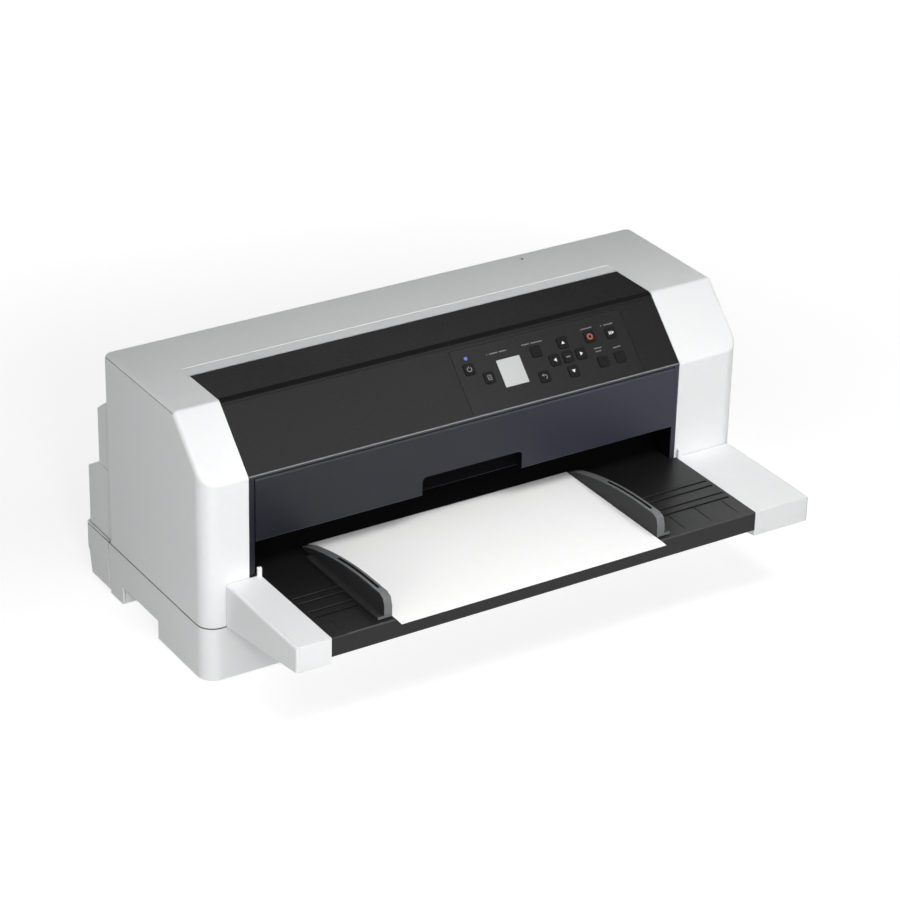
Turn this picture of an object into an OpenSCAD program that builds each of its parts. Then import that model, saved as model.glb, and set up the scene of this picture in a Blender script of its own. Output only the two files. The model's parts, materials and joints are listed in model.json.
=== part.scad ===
// Flatbed dot matrix printer with a front paper table, two edge guides and a
// hinged front cover. Millimetres, +X right, +Y to the back, +Z up. The origin
// is on the resting plane, under the middle of the whole printer.

/* [Case] */
// Overall width of the printer
body_w = 639; // [630:1:650]
// Height of the top face above the resting plane
body_h = 277.5; // [274:0.5:282]
// Depth from the front face to the back wall of the upper case
body_d = 211; // [208:1:216]
// Wall thickness of the plastic cases
wall = 3; // [2.6:0.1:3.4]
// Height of the seam between base and upper case
seam_z = 61; // [60:0.5:62]
// Run, and equal drop, of the sloped panel
slope_run = 58.5; // [57:0.5:60]
// Radius of the upright front corners
corner_r = 18; // [14:1:20]
// Radius of the upright back corners
back_corner_r = 8; // [6:1:10]
// Radius along the top side edges
top_edge_r = 4; // [3.8:0.2:5]
// Width of the white cheek on the left
cheek_left = 50; // [48:1:52]
// Width of the white cheek on the right
cheek_right = 78.5; // [76:0.5:81]
// Depth of the black strip on the top face
strip_d = 61; // [58:1:64]
// Depth of the inward flange round the dark front
flange_d = 12; // [9:1:13]

/* [Base] */
// Gap under the front block of the base
base_lift = 1.5; // [1:0.1:2]
// Gap under the rear end of the base
rear_lift = 5; // [4:0.5:6]
// Depth of the low front block of the base
front_block_d = 208; // [200:1:212]
// Length of each side hand recess
hand_len = 79; // [70:1:85]
// Height of each side hand recess
hand_h = 22; // [18:1:24]
// How far each hand recess reaches inward
hand_in = 20; // [16:1:22]
// Distance of the hand recess behind the front face
hand_y = 102; // [96:1:106]
// Radius of the rubber feet
foot_r = 10; // [8:0.5:11]
// Distance of the feet from the sides
foot_in = 34; // [32:1:38]
// Distance of the front feet behind the front face
foot_y = 24; // [20:1:28]
// How far the rear wall of the base slopes in at its foot
rear_slope = 13.5; // [12:0.5:15]
// Radius of the chassis posts
post_r = 6; // [5:0.5:7]
// Distance of the chassis posts from the sides
post_in = 70; // [66:1:72]
// Distance of the outer chassis posts from the front and back walls
post_y = 30.5; // [28:0.5:34]

/* [Rear housing] */
// Depth of the rear paper housing
rear_d = 54; // [52:1:56]
// How far the rear housing is narrower than the case, in all
rear_narrow = 7; // [5:1:9]
// Depth of the upper rear step, which the rear cover closes
rear_step_d = 26; // [25:0.5:27]
// Height of the lower rear step at its inner edge
rear_step_z = 141; // [139:1:143]
// Height of the lower rear step at its outer edge
rear_edge_z = 125; // [124:1:127]
// Height of the rear cover's hinge pin
rear_hinge_z = 216; // [214:1:218]
// Height of the rear cover at its outer edge
rear_cover_z = 202; // [199:1:204]
// Wall thickness of the rear housing and its cover
rear_wall = 2.5; // [2.3:0.1:2.8]
// Distance of the rear cover's hinge lugs from the housing's ends
lug_in = 116; // [110:1:125]
// Distance of the rear paper slot from the housing's left end
slot_left = 76; // [72:1:80]
// Distance of the rear paper slot from the housing's right end
slot_right = 81; // [77:1:85]
// Depth of the recesses round the sockets
recess_d = 15; // [13:0.5:16]
// Distance of the power inlet from the left side
inlet_in = 68.5; // [66:0.5:72]
// Width of the recess round the power inlet
inlet_w = 56; // [54:1:60]
// Distance of the middle of the ports from the right side
ports_in = 134.5; // [130:0.5:138]
// Width of the recess round the ports
ports_w = 130; // [126:1:136]

/* [Front opening] */
// Height of the paper table's top face
table_z = 109; // [108:0.5:110]
// Height of the front cover's lower edge
cover_z = 147; // [145:1:149]
// Thickness of the front cover
cover_t = 3; // [2.6:0.1:3.2]
// Gap between the cover's ends and the frame legs
cover_gap = 0.5; // [0.4:0.1:0.8]
// Width of the left frame leg
leg_left = 6.8; // [6:0.1:7.5]
// Width of the right frame leg
leg_right = 5.8; // [5.4:0.1:6.4]
// Depth of the frame legs at the paper guide
leg_d = 44; // [42:1:45]
// Left end of the grip recess
grip_x = -72; // [-80:1:-66]
// Width of the grip recess
grip_w = 119; // [110:1:125]
// Height of the grip recess
grip_h = 20; // [17:1:22]
// Depth of the grip recess
grip_d = 9; // [7:0.5:10]
// Radius of the hinge pins
pin_r = 2; // [1.8:0.1:2.2]
// Radial running clearance of pins and shafts
run_gap = 0.05; // [0.04:0.01:0.08]
// Height of the bright trim under the slope
trim_h = 2; // [1.6:0.1:2.2]

/* [Control panel] */
// Left edge of the control panel
panel_x = -12; // [-16:1:-8]
// Width of the control panel
panel_w = 209; // [205:1:213]
// Distance of the panel's upper edge from the upper crease
panel_s = 10; // [8:0.5:11]
// Thickness of the panel plate
panel_t = 1.8; // [1.6:0.1:2]
// Size of the push buttons
button_s = 12; // [11:0.5:12.5]
// Spacing of the arrow buttons round the middle one
pad_pitch = 16; // [15:0.5:16.5]
// How far the buttons stand proud
button_up = 0.8; // [0.6:0.1:1]
// Button travel
button_travel = 0.6; // [0.5:0.1:0.7]
// Clearance round the buttons
button_gap = 0.4; // [0.35:0.05:0.5]
// Width of the display
lcd_w = 28; // [26:1:30]
// Height of the display
lcd_h = 30; // [28:1:31]
// Radius of the status light
led_r = 2.2; // [1.8:0.1:2.6]

/* [Paper table] */
// Depth of the table in front of the case
table_d = 140; // [136:1:144]
// Distance of the table's left end from the left side of the case
table_left = 62; // [60.5:0.5:63.5]
// Distance of the table's right end from the right side of the case
table_right = 76.5; // [75.5:0.5:77]
// Height of the table's front lip
lip_h = 20.8; // [19:0.2:23]
// Thickness of the table plate
table_t = 3; // [2.8:0.1:3.4]
// Width of the left arm
arm_left = 38.5; // [36:0.5:40]
// Width of the right arm
arm_right = 69.5; // [67:0.5:71]
// Height of the arms at the front
arm_h = 28; // [26:0.5:30]
// Wall thickness of the arms
arm_t = 2.5; // [2.2:0.1:3]
// Width of the guide grooves across the table
groove_w = 3; // [2.6:0.1:3.4]
// Depth of the grooves in the table
groove_t = 1.4; // [1.2:0.1:1.6]
// Distance of the first guide groove from the table's front edge
groove_y = 41; // [39:1:43]
// Spacing of the fine lines near the table's front edge
line_pitch = 33.5; // [30:0.5:40]

/* [Edge guides and sheet] */
// Width of the loaded sheet
sheet_w = 310; // [306:1:314]
// Left edge of the loaded sheet
sheet_x = -187; // [-189:1:-184]
// Length of the loaded sheet
sheet_len = 213; // [210:1:215]
// Thickness of the loaded sheet
sheet_t = 0.4; // [0.3:0.1:0.5]
// How far the sheet sticks out past the table
sheet_overhang = 11; // [9:1:13]
// Gap between things that slide past each other
slide_gap = 0.4; // [0.35:0.05:0.5]
// Width of an edge guide
guide_w = 16; // [14:0.5:18]
// Length of an edge guide
guide_len = 158; // [150:1:159]
// Height of an edge guide's fin above the table
guide_h = 24; // [22:0.5:26]
// Width of the fin
fin_w = 9; // [8:0.5:10]
// Gap between the guides' front ends and the table's front edge
guide_in = 6; // [5:0.5:8]

/* [Mechanism] */
// Thickness of the chassis plates
plate_t = 2; // [1.8:0.1:2.4]
// Distance of the left side plate from the left side
plate_left = 36.5; // [35:0.5:37]
// Distance of the right side plate from the right side
plate_right = 57.5; // [56:0.5:58]
// Distance of the front feed roller behind the front face
feed_y = 57; // [56:0.5:58]
// Radius of the feed rollers
feed_r = 8; // [7.6:0.1:8.2]
// Radius of the pinch rollers
pinch_r = 6; // [5.6:0.1:6.2]
// Radius of the feed roller shafts
feed_shaft_r = 4; // [3.6:0.1:4.4]
// Radius of the pinch roller shafts
pinch_shaft_r = 3; // [2.6:0.1:3.2]
// Teeth of the roller gears and the idler gear
gear_teeth = 32; // [28:4:32]
// Teeth of the motor pinion
pinion_teeth = 12; // [8:4:12]
// Tooth module of the gears
gear_m = 1; // [0.98:0.01:1.02]
// Width of the gear teeth
gear_w = 8; // [7:0.5:9]
// Radius of the feed motor
feed_motor_r = 15; // [13:0.5:15.5]
// Length of the feed motor
feed_motor_l = 38; // [34:1:42]
// Radius of the carriage shaft
rail_r = 6; // [5.6:0.1:6.4]
// Height of the carriage shaft
rail_z = 160; // [159:0.5:161]
// Length of the print carriage along its shaft
carriage_w = 64; // [58:1:68]
// Place of the carriage at rest
carriage_x = -10; // [-14:1:-6]
// Radius of the belt pulleys
pulley_r = 7.2; // [6.8:0.1:7.4]
// Thickness of the carriage belt
belt_t = 1.6; // [1.4:0.1:1.8]
// Width of the carriage belt
belt_w = 10; // [9:0.5:10.5]
// Radius of the carriage motor
carriage_motor_r = 18; // [16:0.5:18.5]
// Length of the carriage motor
carriage_motor_l = 43; // [38:1:46]
// How far the side plates rise above the carriage shaft
plate_rise = 36; // [32:1:38]
// Radius of the tractor shaft
tractor_r = 5; // [4.6:0.1:5.4]
// Width of each sprocket tractor
tractor_w = 14; // [12:1:16]
// Rest distance of the left tractor from the housing's left end
tractor_left_in = 96; // [92:1:100]
// Rest distance of the right tractor from the housing's right end
tractor_right_in = 116; // [112:1:120]
// Distance of the tractor shaft's brackets from the housing's ends
bracket_in = 28; // [24:1:32]

/* [Electronics] */
// Distance of the circuit boards from the sides of the case
board_in = 84; // [80:1:88]
// Distance of the circuit boards behind the front face
board_y = 40; // [36:1:44]
// Width and depth of the power board
power_board_s = 150; // [140:1:154]
// Gap between the two circuit boards
board_apart = 61; // [55:1:65]
// Thickness of the circuit boards
board_t = 1.6; // [1.2:0.1:2]

/* [Hidden] */
$fn = 64;

// Places along the depth, from the front edge of the sheet to the rear housing
total_d = sheet_overhang + table_d + body_d + rear_d;
sheet_y = -total_d / 2;
table_y = sheet_y + sheet_overhang;
front_y = table_y + table_d;
back_y = front_y + body_d;
rear_y = back_y + rear_d;
crease_y = front_y + slope_run;
strip_y = crease_y + strip_d;
slope_z = body_h - slope_run;
slope_len = slope_run * sqrt(2);
mitre = tan(22.5);
half_w = body_w / 2;
zone_x0 = -half_w + cheek_left;
zone_x1 = half_w - cheek_right;
fit_gap = 0.4;
panel_skin = 3;
ledge_t = 2;
ledge_w = 4;

// Hinge axis of the front cover, and the gap left above the cover
cover_y = front_y + 4;
cover_pin_z = slope_z - 7.5;
cover_top = slope_z - trim_h - 1.2;
cover_x0 = zone_x0 + leg_left + cover_gap;
cover_x1 = zone_x1 - leg_right - cover_gap;

// Ends of the paper table, and the small tabs beside them
table_x0 = -half_w + table_left;
table_x1 = half_w - table_right;
tab_w = 4.5;

// Paper path
sheet_z = table_z + slide_gap;
feed_z = table_z - feed_r;
pinch_z = sheet_z + sheet_t + slide_gap + pinch_r;
gear_r = gear_m * gear_teeth / 2;
pinion_r = gear_m * pinion_teeth / 2;
feed_y1 = front_y + feed_y;
idler_y = feed_y1 + 2 * gear_r;
feed_y2 = idler_y + 2 * gear_r;
pinion_z = feed_z - gear_r - pinion_r;
platen_w = 12;

// Side plates of the mechanism and what stands beside them
plate_x0 = -half_w + plate_left;
plate_x1 = half_w - plate_right;
plate_z = seam_z + plate_t;
gear_x = plate_x1 + plate_t + 2;
plate_front = front_y + 47;
plate_back = back_y - 14;

// Carriage
rail_y = idler_y + 26;
head_y = idler_y;
ribbon_z = sheet_z + 2;
guide_rail_y = rail_y + 18;
belt_y = rail_y + 40;
belt_z = rail_z + 8;
drive_x = plate_x1 - 24;
idle_x = plate_x0 + 21;

// Rear
rear_half = half_w - rear_narrow / 2;
step_y = back_y + rear_step_d;
rear_pin_y = back_y + 3.1;
rear_barrel_r = 2.7;
lug_x = rear_half - lug_in;
lug_w = 12;
slot_z0 = table_z - 5;
slot_z1 = table_z + 12;
tractor_y = back_y + 24;
tractor_z = table_z - 9;
tractor_x0 = -rear_half + tractor_left_in;
tractor_x1 = rear_half - tractor_right_in;
bracket_x = rear_half - bracket_in;

// Base
floor_t = wall;
recess_y = rear_y - recess_d;
inlet_x = -half_w + inlet_in;
ports_x = half_w - ports_in;
post_x = half_w - post_in;
post_ys = [front_y + post_y, (front_y + back_y) / 2, back_y - post_y];
block_y = front_y + front_block_d;
rear_foot_y = (block_y + rear_y - rear_slope) / 2;
power_x0 = -half_w + board_in;

// A place on the control panel: a share of its width, and of the slope's length
function on_panel(u, v) = [panel_x + u * panel_w, v * slope_len];

// Centre of each button, across and down the slope
pad_at = on_panel(0.6187, 0.5488);
button_at = [
    ["power_button", on_panel(0.0718, 0.3928)], ["sheet_button", on_panel(0.1603, 0.556)],
    ["source_button", on_panel(0.4593, 0.3808)], ["back_button", on_panel(0.4522, 0.7192)],
    ["up_button", pad_at - [0, pad_pitch]], ["left_button", pad_at - [pad_pitch, 0]],
    ["ok_button", pad_at], ["right_button", pad_at + [pad_pitch, 0]],
    ["down_button", pad_at + [0, pad_pitch]], ["cancel_button", on_panel(0.7775, 0.3687)],
    ["pause_button", on_panel(0.8995, 0.3868)], ["tear_button", on_panel(0.799, 0.7192)],
    ["load_button", on_panel(0.8995, 0.7192)]];
led_at = on_panel(0.0766, 0.2478);
lcd_at = on_panel(0.2967, 0.5476);
window_margin = 4;
board_w = -6.4;

white = "#eceded";
charcoal = "#2f2f31";
gloss_dark = "#3b3c48";
dark_grey = "#4a4b4e";
steel = "#a9adb0";

// ---- shared shapes ----

module box(x, y, z) {
    translate([x[0], y[0], z[0]]) cube([x[1] - x[0], y[1] - y[0], z[1] - z[0]]);
}

// A Y-Z outline drawn out along X
module along_x(x0, x1) {
    translate([x0, 0, 0]) rotate([90, 0, 90]) linear_extrude(x1 - x0) children();
}

module rod_x(x0, x1, y, z, r) {
    translate([x0, y, z]) rotate([0, 90, 0]) cylinder(h = x1 - x0, r = r);
}

// A rectangle with its front corners rounded by rf and its back ones by rb
module rounded(x0, x1, y0, y1, rf, rb) {
    translate([x0 + rf, y0]) square([x1 - x0 - 2 * rf, rf + 1]);
    translate([x0, y0 + rf]) square([x1 - x0, y1 - y0 - rf - rb]);
    translate([x0 + rb, y1 - rb - 1]) square([x1 - x0 - 2 * rb, rb + 1]);
    for (x = [x0 + rf, x1 - rf]) translate([x, y0 + rf]) circle(rf);
    for (x = [x0 + rb, x1 - rb]) translate([x, y1 - rb]) circle(rb);
}

// Places children on the slope: x across, -y down the slope, z out of it
module on_slope() {
    translate([0, crease_y, body_h]) rotate([45, 0, 0]) children();
}

// ---- base ----

function base_outline(i, top) = [
    [front_y + i, base_lift + i], [front_y + i, top], [rear_y - i, top],
    [rear_y - i - 1.5, 46], [rear_y - i - 6, 31], [rear_y - i - 8, 31],
    [rear_y - i - rear_slope, rear_lift + i], [block_y + i, rear_lift + i],
    [block_y - i, base_lift + i]];

module base_solid(i, top) {
    intersection() {
        along_x(-half_w + i, half_w - i) polygon(base_outline(i, top));
        linear_extrude(top + 1)
            rounded(-half_w + i, half_w - i, front_y + i, rear_y, corner_r - i, back_corner_r - i);
    }
}

module hand_box(grow) {
    for (side = [-1, 1]) scale([side, 1, 1])
        box([half_w - hand_in - grow, half_w + 1 - grow * 1.5],
            [front_y + hand_y - grow, front_y + hand_y + hand_len + grow], [-1, hand_h + grow]);
}

module post(x, y) {
    translate([x, y, base_lift + 1]) cylinder(h = seam_z - base_lift - 1, r = post_r);
}

module base_case() {
    color(white) difference() {
        union() {
            difference() {
                base_solid(0, seam_z);
                base_solid(floor_t, seam_z + 5);
            }
            intersection() {
                hand_box(wall);
                base_solid(0, seam_z);
            }
            for (x = [-post_x, post_x], y = post_ys) post(x, y);
            intersection() {
                base_solid(0, seam_z);
                union() {
                    port_recess(inlet_x, inlet_w, wall);
                    port_recess(ports_x, ports_w, wall);
                }
            }
        }
        hand_box(0);
        port_recess(inlet_x, inlet_w, 0);
        port_recess(ports_x, ports_w, 0);
        box([inlet_x - 22, inlet_x + 22], [recess_y - wall - 1, recess_y + 1], [20, 44]);
        box([ports_x - 55, ports_x + 55], [recess_y - wall - 1, recess_y + 1], [15, 30]);
        for (x = [-post_x, post_x], y = post_ys)
            translate([x, y, seam_z - 14]) cylinder(h = 15, r = 2.2);
        vents();
    }
}

// Cooling slots in the right wall, ahead of the hand recess
module vents() {
    for (i = [0:5]) box([half_w - wall - 1, half_w + 1],
        [front_y + 30 + i * 9, front_y + 33 + i * 9], [seam_z - 26, seam_z - 12]);
}

// A pocket for sockets in the sloping rear wall
module port_recess(x, w, grow) {
    box([x - w / 2 - grow, x + w / 2 + grow], [recess_y - grow, rear_y + 1],
        [13 - grow, 52 + grow]);
}

module feet() {
    color("#333436") for (x = [-half_w + foot_in, half_w - foot_in]) {
        translate([x, front_y + foot_y, 0]) cylinder(h = base_lift, r = foot_r);
        translate([x, rear_foot_y, 0]) cylinder(h = rear_lift, r = foot_r);
    }
}

// ---- upper case ----

function upper_outline(i, low) = [
    [front_y + i, low], [front_y + i, slope_z - mitre * i],
    [crease_y + mitre * i, body_h - i], [back_y - i, body_h - i], [back_y - i, low]];

module upper_solid(i, low) {
    intersection() {
        along_x(-half_w + i, half_w - i) polygon(upper_outline(i, low));
        translate([0, 0, low - 1]) linear_extrude(body_h)
            rounded(-half_w + i, half_w - i, front_y + i, back_y - i,
                corner_r - i, back_corner_r - i);
        translate([0, back_y + 1, 0]) rotate([90, 0, 0]) linear_extrude(body_d + 2)
            rounded(-half_w + i, half_w - i, low - 1, body_h - i, 1, top_edge_r - i);
    }
}

// The band between two insets of the case outline, above a level
module outline_band(i, j, low) {
    difference() {
        polygon(upper_outline(i, low));
        polygon(upper_outline(j, low - 1));
    }
}

module upper_case() {
    color(white) {
        difference() {
            union() {
                difference() {
                    upper_solid(0, seam_z);
                    upper_solid(wall, seam_z - 5);
                }
                side_flange(zone_x0 - wall, zone_x0);
                side_flange(zone_x1, zone_x1 + wall);
            }
            box([zone_x0, zone_x1], [front_y - 1, strip_y], [table_z - 5, body_h + 1]);
            box([zone_x0 + 6, zone_x1 - 6], [back_y - wall - 1, back_y + 1],
                [slot_z0, rear_step_z - 6]);
        }
        panel_ledge(zone_x0 - wall, zone_x0 + ledge_w);
        panel_ledge(zone_x1 - ledge_w, zone_x1 + wall);
        box([zone_x0, zone_x1], [strip_y - ledge_w, strip_y + ledge_w],
            [body_h - panel_skin - ledge_t, body_h - panel_skin]);
        for (x = [-lug_x, lug_x]) hinge_lug(x);
    }
}

module side_flange(x0, x1) {
    intersection() {
        along_x(x0, x1) outline_band(0, flange_d, table_z - 5);
        box([x0 - 1, x1 + 1], [front_y, strip_y], [table_z - 5, body_h]);
    }
}

// The step that the black top panel lies on
module panel_ledge(x0, x1) {
    intersection() {
        along_x(x0, x1) outline_band(panel_skin, panel_skin + ledge_t, slope_z);
        box([x0 - 1, x1 + 1], [front_y, strip_y - ledge_w + 1], [slope_z, body_h]);
    }
}

module hinge_lug(x) {
    difference() {
        along_x(x - lug_w / 2, x + lug_w / 2) union() {
            translate([back_y - 0.5, rear_hinge_z - 4])
                square([rear_pin_y - back_y + 0.5, 8]);
            translate([rear_pin_y, rear_hinge_z]) circle(4);
        }
        rod_x(x - lug_w, x + lug_w, rear_pin_y, rear_hinge_z, pin_r + run_gap);
    }
}

// ---- rear ----

module rear_shell(outline_out, outline_in) {
    difference() {
        intersection() {
            along_x(-rear_half, rear_half) polygon(outline_out);
            linear_extrude(body_h)
                rounded(-rear_half, rear_half, back_y - 30, rear_y, 1, back_corner_r);
        }
        along_x(-rear_half + rear_wall, rear_half - rear_wall) polygon(outline_in);
    }
}

module rear_housing() {
    t = rear_wall;
    color(white) {
        difference() {
            rear_shell(
                [[back_y, seam_z], [rear_y, seam_z], [rear_y - 1.5, rear_edge_z],
                    [step_y, rear_step_z], [back_y, rear_step_z]],
                [[back_y - 1, seam_z - 1], [rear_y - t, seam_z - 1],
                    [rear_y - 1.5 - t, rear_edge_z - t], [step_y, rear_step_z - t - 1],
                    [step_y, rear_step_z + 1], [back_y - 1, rear_step_z + 1]]);
            box([-rear_half + slot_left, rear_half - slot_right], [rear_y - 8, rear_y + 1],
                [slot_z0, slot_z1]);
        }
        for (side = [-1, 1]) shaft_bracket(side * bracket_x);
    }
}

// A rib inside the housing that carries the tractor shaft
module shaft_bracket(x) {
    difference() {
        box([x - 1.5, x + 1.5], [back_y, rear_y - rear_wall], [seam_z, tractor_z + 12]);
        rod_x(x - 5, x + 5, tractor_y, tractor_z, tractor_r + run_gap);
    }
}

module rear_cover() {
    t = rear_wall;
    low = rear_step_z + fit_gap;
    color(white) {
        difference() {
            rear_shell(
                [[back_y + 0.5, low], [step_y, low], [step_y, rear_cover_z],
                    [rear_pin_y, rear_hinge_z + rear_barrel_r], [back_y + 0.5, rear_hinge_z]],
                [[back_y - 1, low - 1], [step_y - t, low - 1], [step_y - t, rear_cover_z - t],
                    [rear_pin_y, rear_hinge_z + rear_barrel_r - t - 0.5], [back_y - 1, rear_hinge_z]]);
            for (x = [-lug_x, lug_x])
                rod_x(x - lug_w / 2 - fit_gap, x + lug_w / 2 + fit_gap, rear_pin_y, rear_hinge_z,
                    4 + fit_gap);
        }
        rod_x(-rear_half + 1, rear_half - 1, rear_pin_y, rear_hinge_z, pin_r);
    }
}

// ---- black top panel, trim and control panel ----

module top_panel() {
    x0 = zone_x0 + fit_gap;
    x1 = zone_x1 - fit_gap;
    color(charcoal) difference() {
        along_x(x0, x1) polygon([
            [strip_y - fit_gap, body_h], [crease_y, body_h], [front_y + 1, slope_z + 1],
            [front_y + 1 + panel_skin / sqrt(2), slope_z + 1 - panel_skin / sqrt(2)],
            [crease_y + mitre * panel_skin, body_h - panel_skin],
            [strip_y - fit_gap, body_h - panel_skin]]);
        on_slope() {
            box([panel_x, panel_x + panel_w], [-slope_len - 2, -panel_s], [-panel_t, 2]);
            box([panel_x + window_margin, panel_x + panel_w - window_margin],
                [-slope_len + 7, -panel_s - window_margin], [-5, 2]);
            // soft groove under the upper crease
            box([x0 - 1, x1 + 1], [-6.5, -5.3], [-1, 1]);
        }
    }
}

module trim_strip() {
    color("#c3c5c6") along_x(zone_x0 + fit_gap, zone_x1 - fit_gap) polygon([
        [front_y, slope_z - trim_h], [front_y, slope_z], [front_y + 1, slope_z + 1],
        [front_y + 1 + panel_skin / sqrt(2), slope_z + 1 - panel_skin / sqrt(2)],
        [front_y + 2.2, slope_z - trim_h]]);
}

module button_outline(grow) {
    s = button_s + 2 * grow;
    r = 2 + grow;
    translate([-s / 2 + r, -s / 2]) square([s - 2 * r, s]);
    translate([-s / 2, -s / 2 + r]) square([s, s - 2 * r]);
    for (x = [-1, 1], y = [-1, 1])
        translate([x * (s / 2 - r), y * (s / 2 - r)]) circle(r);
}

module control_panel() {
    color(charcoal) on_slope() difference() {
        box([panel_x + fit_gap, panel_x + panel_w - fit_gap],
            [-slope_len + 1.5, -panel_s - fit_gap], [-panel_t, 0]);
        for (b = button_at) translate([b[1][0], -b[1][1], -panel_t - 1])
            linear_extrude(panel_t + 2) button_outline(button_gap);
        translate([led_at[0], -led_at[1], -panel_t - 1]) cylinder(h = panel_t + 2, r = led_r + 0.2);
        box([lcd_at[0] - lcd_w / 2 - 0.2, lcd_at[0] + lcd_w / 2 + 0.2],
            [-lcd_at[1] - lcd_h / 2 - 0.2, -lcd_at[1] + lcd_h / 2 + 0.2], [-panel_t - 1, 1]);
    }
}

module push_button(name) {
    at = button_at[search([name], button_at)[0]][1];
    on_slope() translate([at[0], -at[1], 0]) {
        translate([0, 0, -panel_t - 1.4]) linear_extrude(panel_t + 1.4 + button_up)
            button_outline(0);
        translate([0, 0, -panel_t - 1.6]) linear_extrude(1.2) button_outline(1.2);
    }
}

module panel_board() {
    color("#2f6b48") on_slope() {
        box([panel_x, panel_x + panel_w], [-slope_len + 3, -panel_s - 1],
            [board_w - board_t, board_w]);
        for (b = button_at) translate([b[1][0], -b[1][1], board_w - 0.1])
            cylinder(h = -board_w - panel_t - 1.6 - button_travel - fit_gap + 0.1, r = 3);
        for (x = [panel_x + 2, panel_x + panel_w - 2], s = [20, slope_len - 5])
            translate([x, -s, board_w - 0.1]) cylinder(h = -board_w - panel_skin + 0.1, r = 1.8);
    }
}

module lcd_window() {
    color("#c9cdd0") on_slope()
        box([lcd_at[0] - lcd_w / 2, lcd_at[0] + lcd_w / 2],
            [-lcd_at[1] - lcd_h / 2, -lcd_at[1] + lcd_h / 2], [board_w, -0.1]);
}

module status_led() {
    color("#2f5fd0") on_slope() translate([led_at[0], -led_at[1], board_w])
        cylinder(h = -board_w + 0.2, r = led_r);
}

// ---- front cover and opening ----

module front_cover() {
    y0 = front_y;
    y1 = front_y + cover_t;
    g0 = grip_x;
    g1 = grip_x + grip_w;
    w = 2.4;
    color(gloss_dark) {
        difference() {
            union() {
                along_x(cover_x0, cover_x1) union() {
                    translate([y0, cover_z]) square([cover_t, cover_top - cover_t - cover_z]);
                    translate([y1, cover_top - cover_t]) intersection() {
                        circle(cover_t);
                        translate([-cover_t, 0]) square([cover_t, cover_t]);
                    }
                    translate([y0, cover_z]) square([8, 2]);
                    translate([cover_y, cover_pin_z]) circle(3);
                }
                box([g0 - w, g1 + w], [y0, y0 + grip_d + w], [cover_z, cover_z + grip_h + w]);
            }
            box([g0, g1], [y0 - 1, y0 + grip_d], [cover_z - 1, cover_z + grip_h]);
        }
        rod_x(cover_x0 - leg_right + 1.5, cover_x1 + leg_right - 1.5, cover_y, cover_pin_z, pin_r);
    }
}

module frame_leg(x0, x1) {
    difference() {
        along_x(x0, x1) polygon([
            [front_y + 1, table_z - 25], [front_y + 1, slope_z - trim_h - 0.3],
            [front_y + 16, slope_z - trim_h - 0.3], [front_y + 16, cover_z + 5],
            [front_y + leg_d, cover_z - 5], [front_y + leg_d, table_z - 25]]);
        rod_x(x0 - 1, x1 + 1, cover_y, cover_pin_z, pin_r + run_gap);
    }
}

module opening_frame() {
    color("#1d1d1f") difference() {
        union() {
            frame_leg(zone_x0, zone_x0 + leg_left);
            frame_leg(zone_x1 - leg_right, zone_x1);
        }
        box([zone_x0 - 1, zone_x1 + 1], [front_y, front_y + wall + fit_gap],
            [seam_z, table_z - 5 + fit_gap]);
    }
}

module inner_paper_guide() {
    x0 = zone_x0 + leg_left;
    x1 = zone_x1 - leg_right;
    color("#1d1d1f") along_x(x0, x1) polygon([
        [front_y + 26.5, sheet_z + sheet_t + 1], [front_y + 42, cover_z - 14],
        [front_y + 44, cover_z - 16], [front_y + 31, sheet_z + sheet_t + 1]]);
}

// ---- paper table ----

module front_table() {
    x0 = table_x0;
    x1 = table_x1;
    inner_x1 = zone_x1 - leg_right - cover_gap;
    color("#232325") difference() {
        union() {
            box([x0, x1], [table_y, front_y - fit_gap], [table_z - table_t, table_z]);
            box([x0, inner_x1], [front_y - 1, feed_y1 - feed_r - 3], [table_z - table_t, table_z]);
            box([x0, x1], [table_y, table_y + table_t], [table_z - lip_h, table_z]);
            for (x = [x0, x1 - table_t]) box([x, x + table_t], [table_y, front_y - fit_gap],
                [table_z - lip_h, table_z]);
        }
        for (y = groove_ys()) box([x0 + 4, x1 - 4], [y, y + groove_w],
            [table_z - groove_t, table_z + 1]);
        for (x = [x0 + 15 : line_pitch : x1 - 15]) box([x, x + 1],
            [table_y + 8, table_y + groove_y - 3], [table_z - groove_t / 2, table_z + 1]);
    }
}

function groove_ys() = [for (dy = [0, 11, 29, 40]) table_y + groove_y + dy - groove_w / 2];

function arm_outline(i) = [
    [front_y + (i > 0 ? 1 : 0), seam_z - i], [table_y + i, table_z - arm_h - i],
    [table_y + i, table_z - i], [front_y + (i > 0 ? 1 : 0), table_z - i]];

module table_arm(x0, x1, tab_x) {
    color(white) {
        difference() {
            along_x(x0, x1) polygon(arm_outline(0));
            along_x(x0 + arm_t, x1 - arm_t) polygon(arm_outline(arm_t));
        }
        box([tab_x, tab_x + tab_w], [front_y - 4, front_y - fit_gap], [table_z - 1, table_z + 10]);
    }
}

module table_arm_left() {
    table_arm(table_x0 - arm_left, table_x0, table_x0 - tab_w);
}

module table_arm_right() {
    table_arm(table_x1, table_x1 + arm_right, table_x1);
}

// Height of the guide's fin at a share u of its length, from the back tip
function fin_rise(u) = 4 + (guide_h - 4) * (1 - pow(1 - min(u / 0.8, 1), 2));

module fin_outline() {
    n = 12;
    z0 = table_z + slide_gap;
    back = table_y + guide_in + guide_len;
    polygon(concat(
        [[back, z0]],
        [for (i = [0:n]) let (u = i / n * 0.94)
            [back - u * guide_len, z0 + fin_rise(u) * (i == 0 ? 0.6 : 1)]],
        [[back - guide_len * 0.985, z0 + guide_h - 3], [back - guide_len, z0 + guide_h - 10],
            [back - guide_len, z0]]));
}

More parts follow.
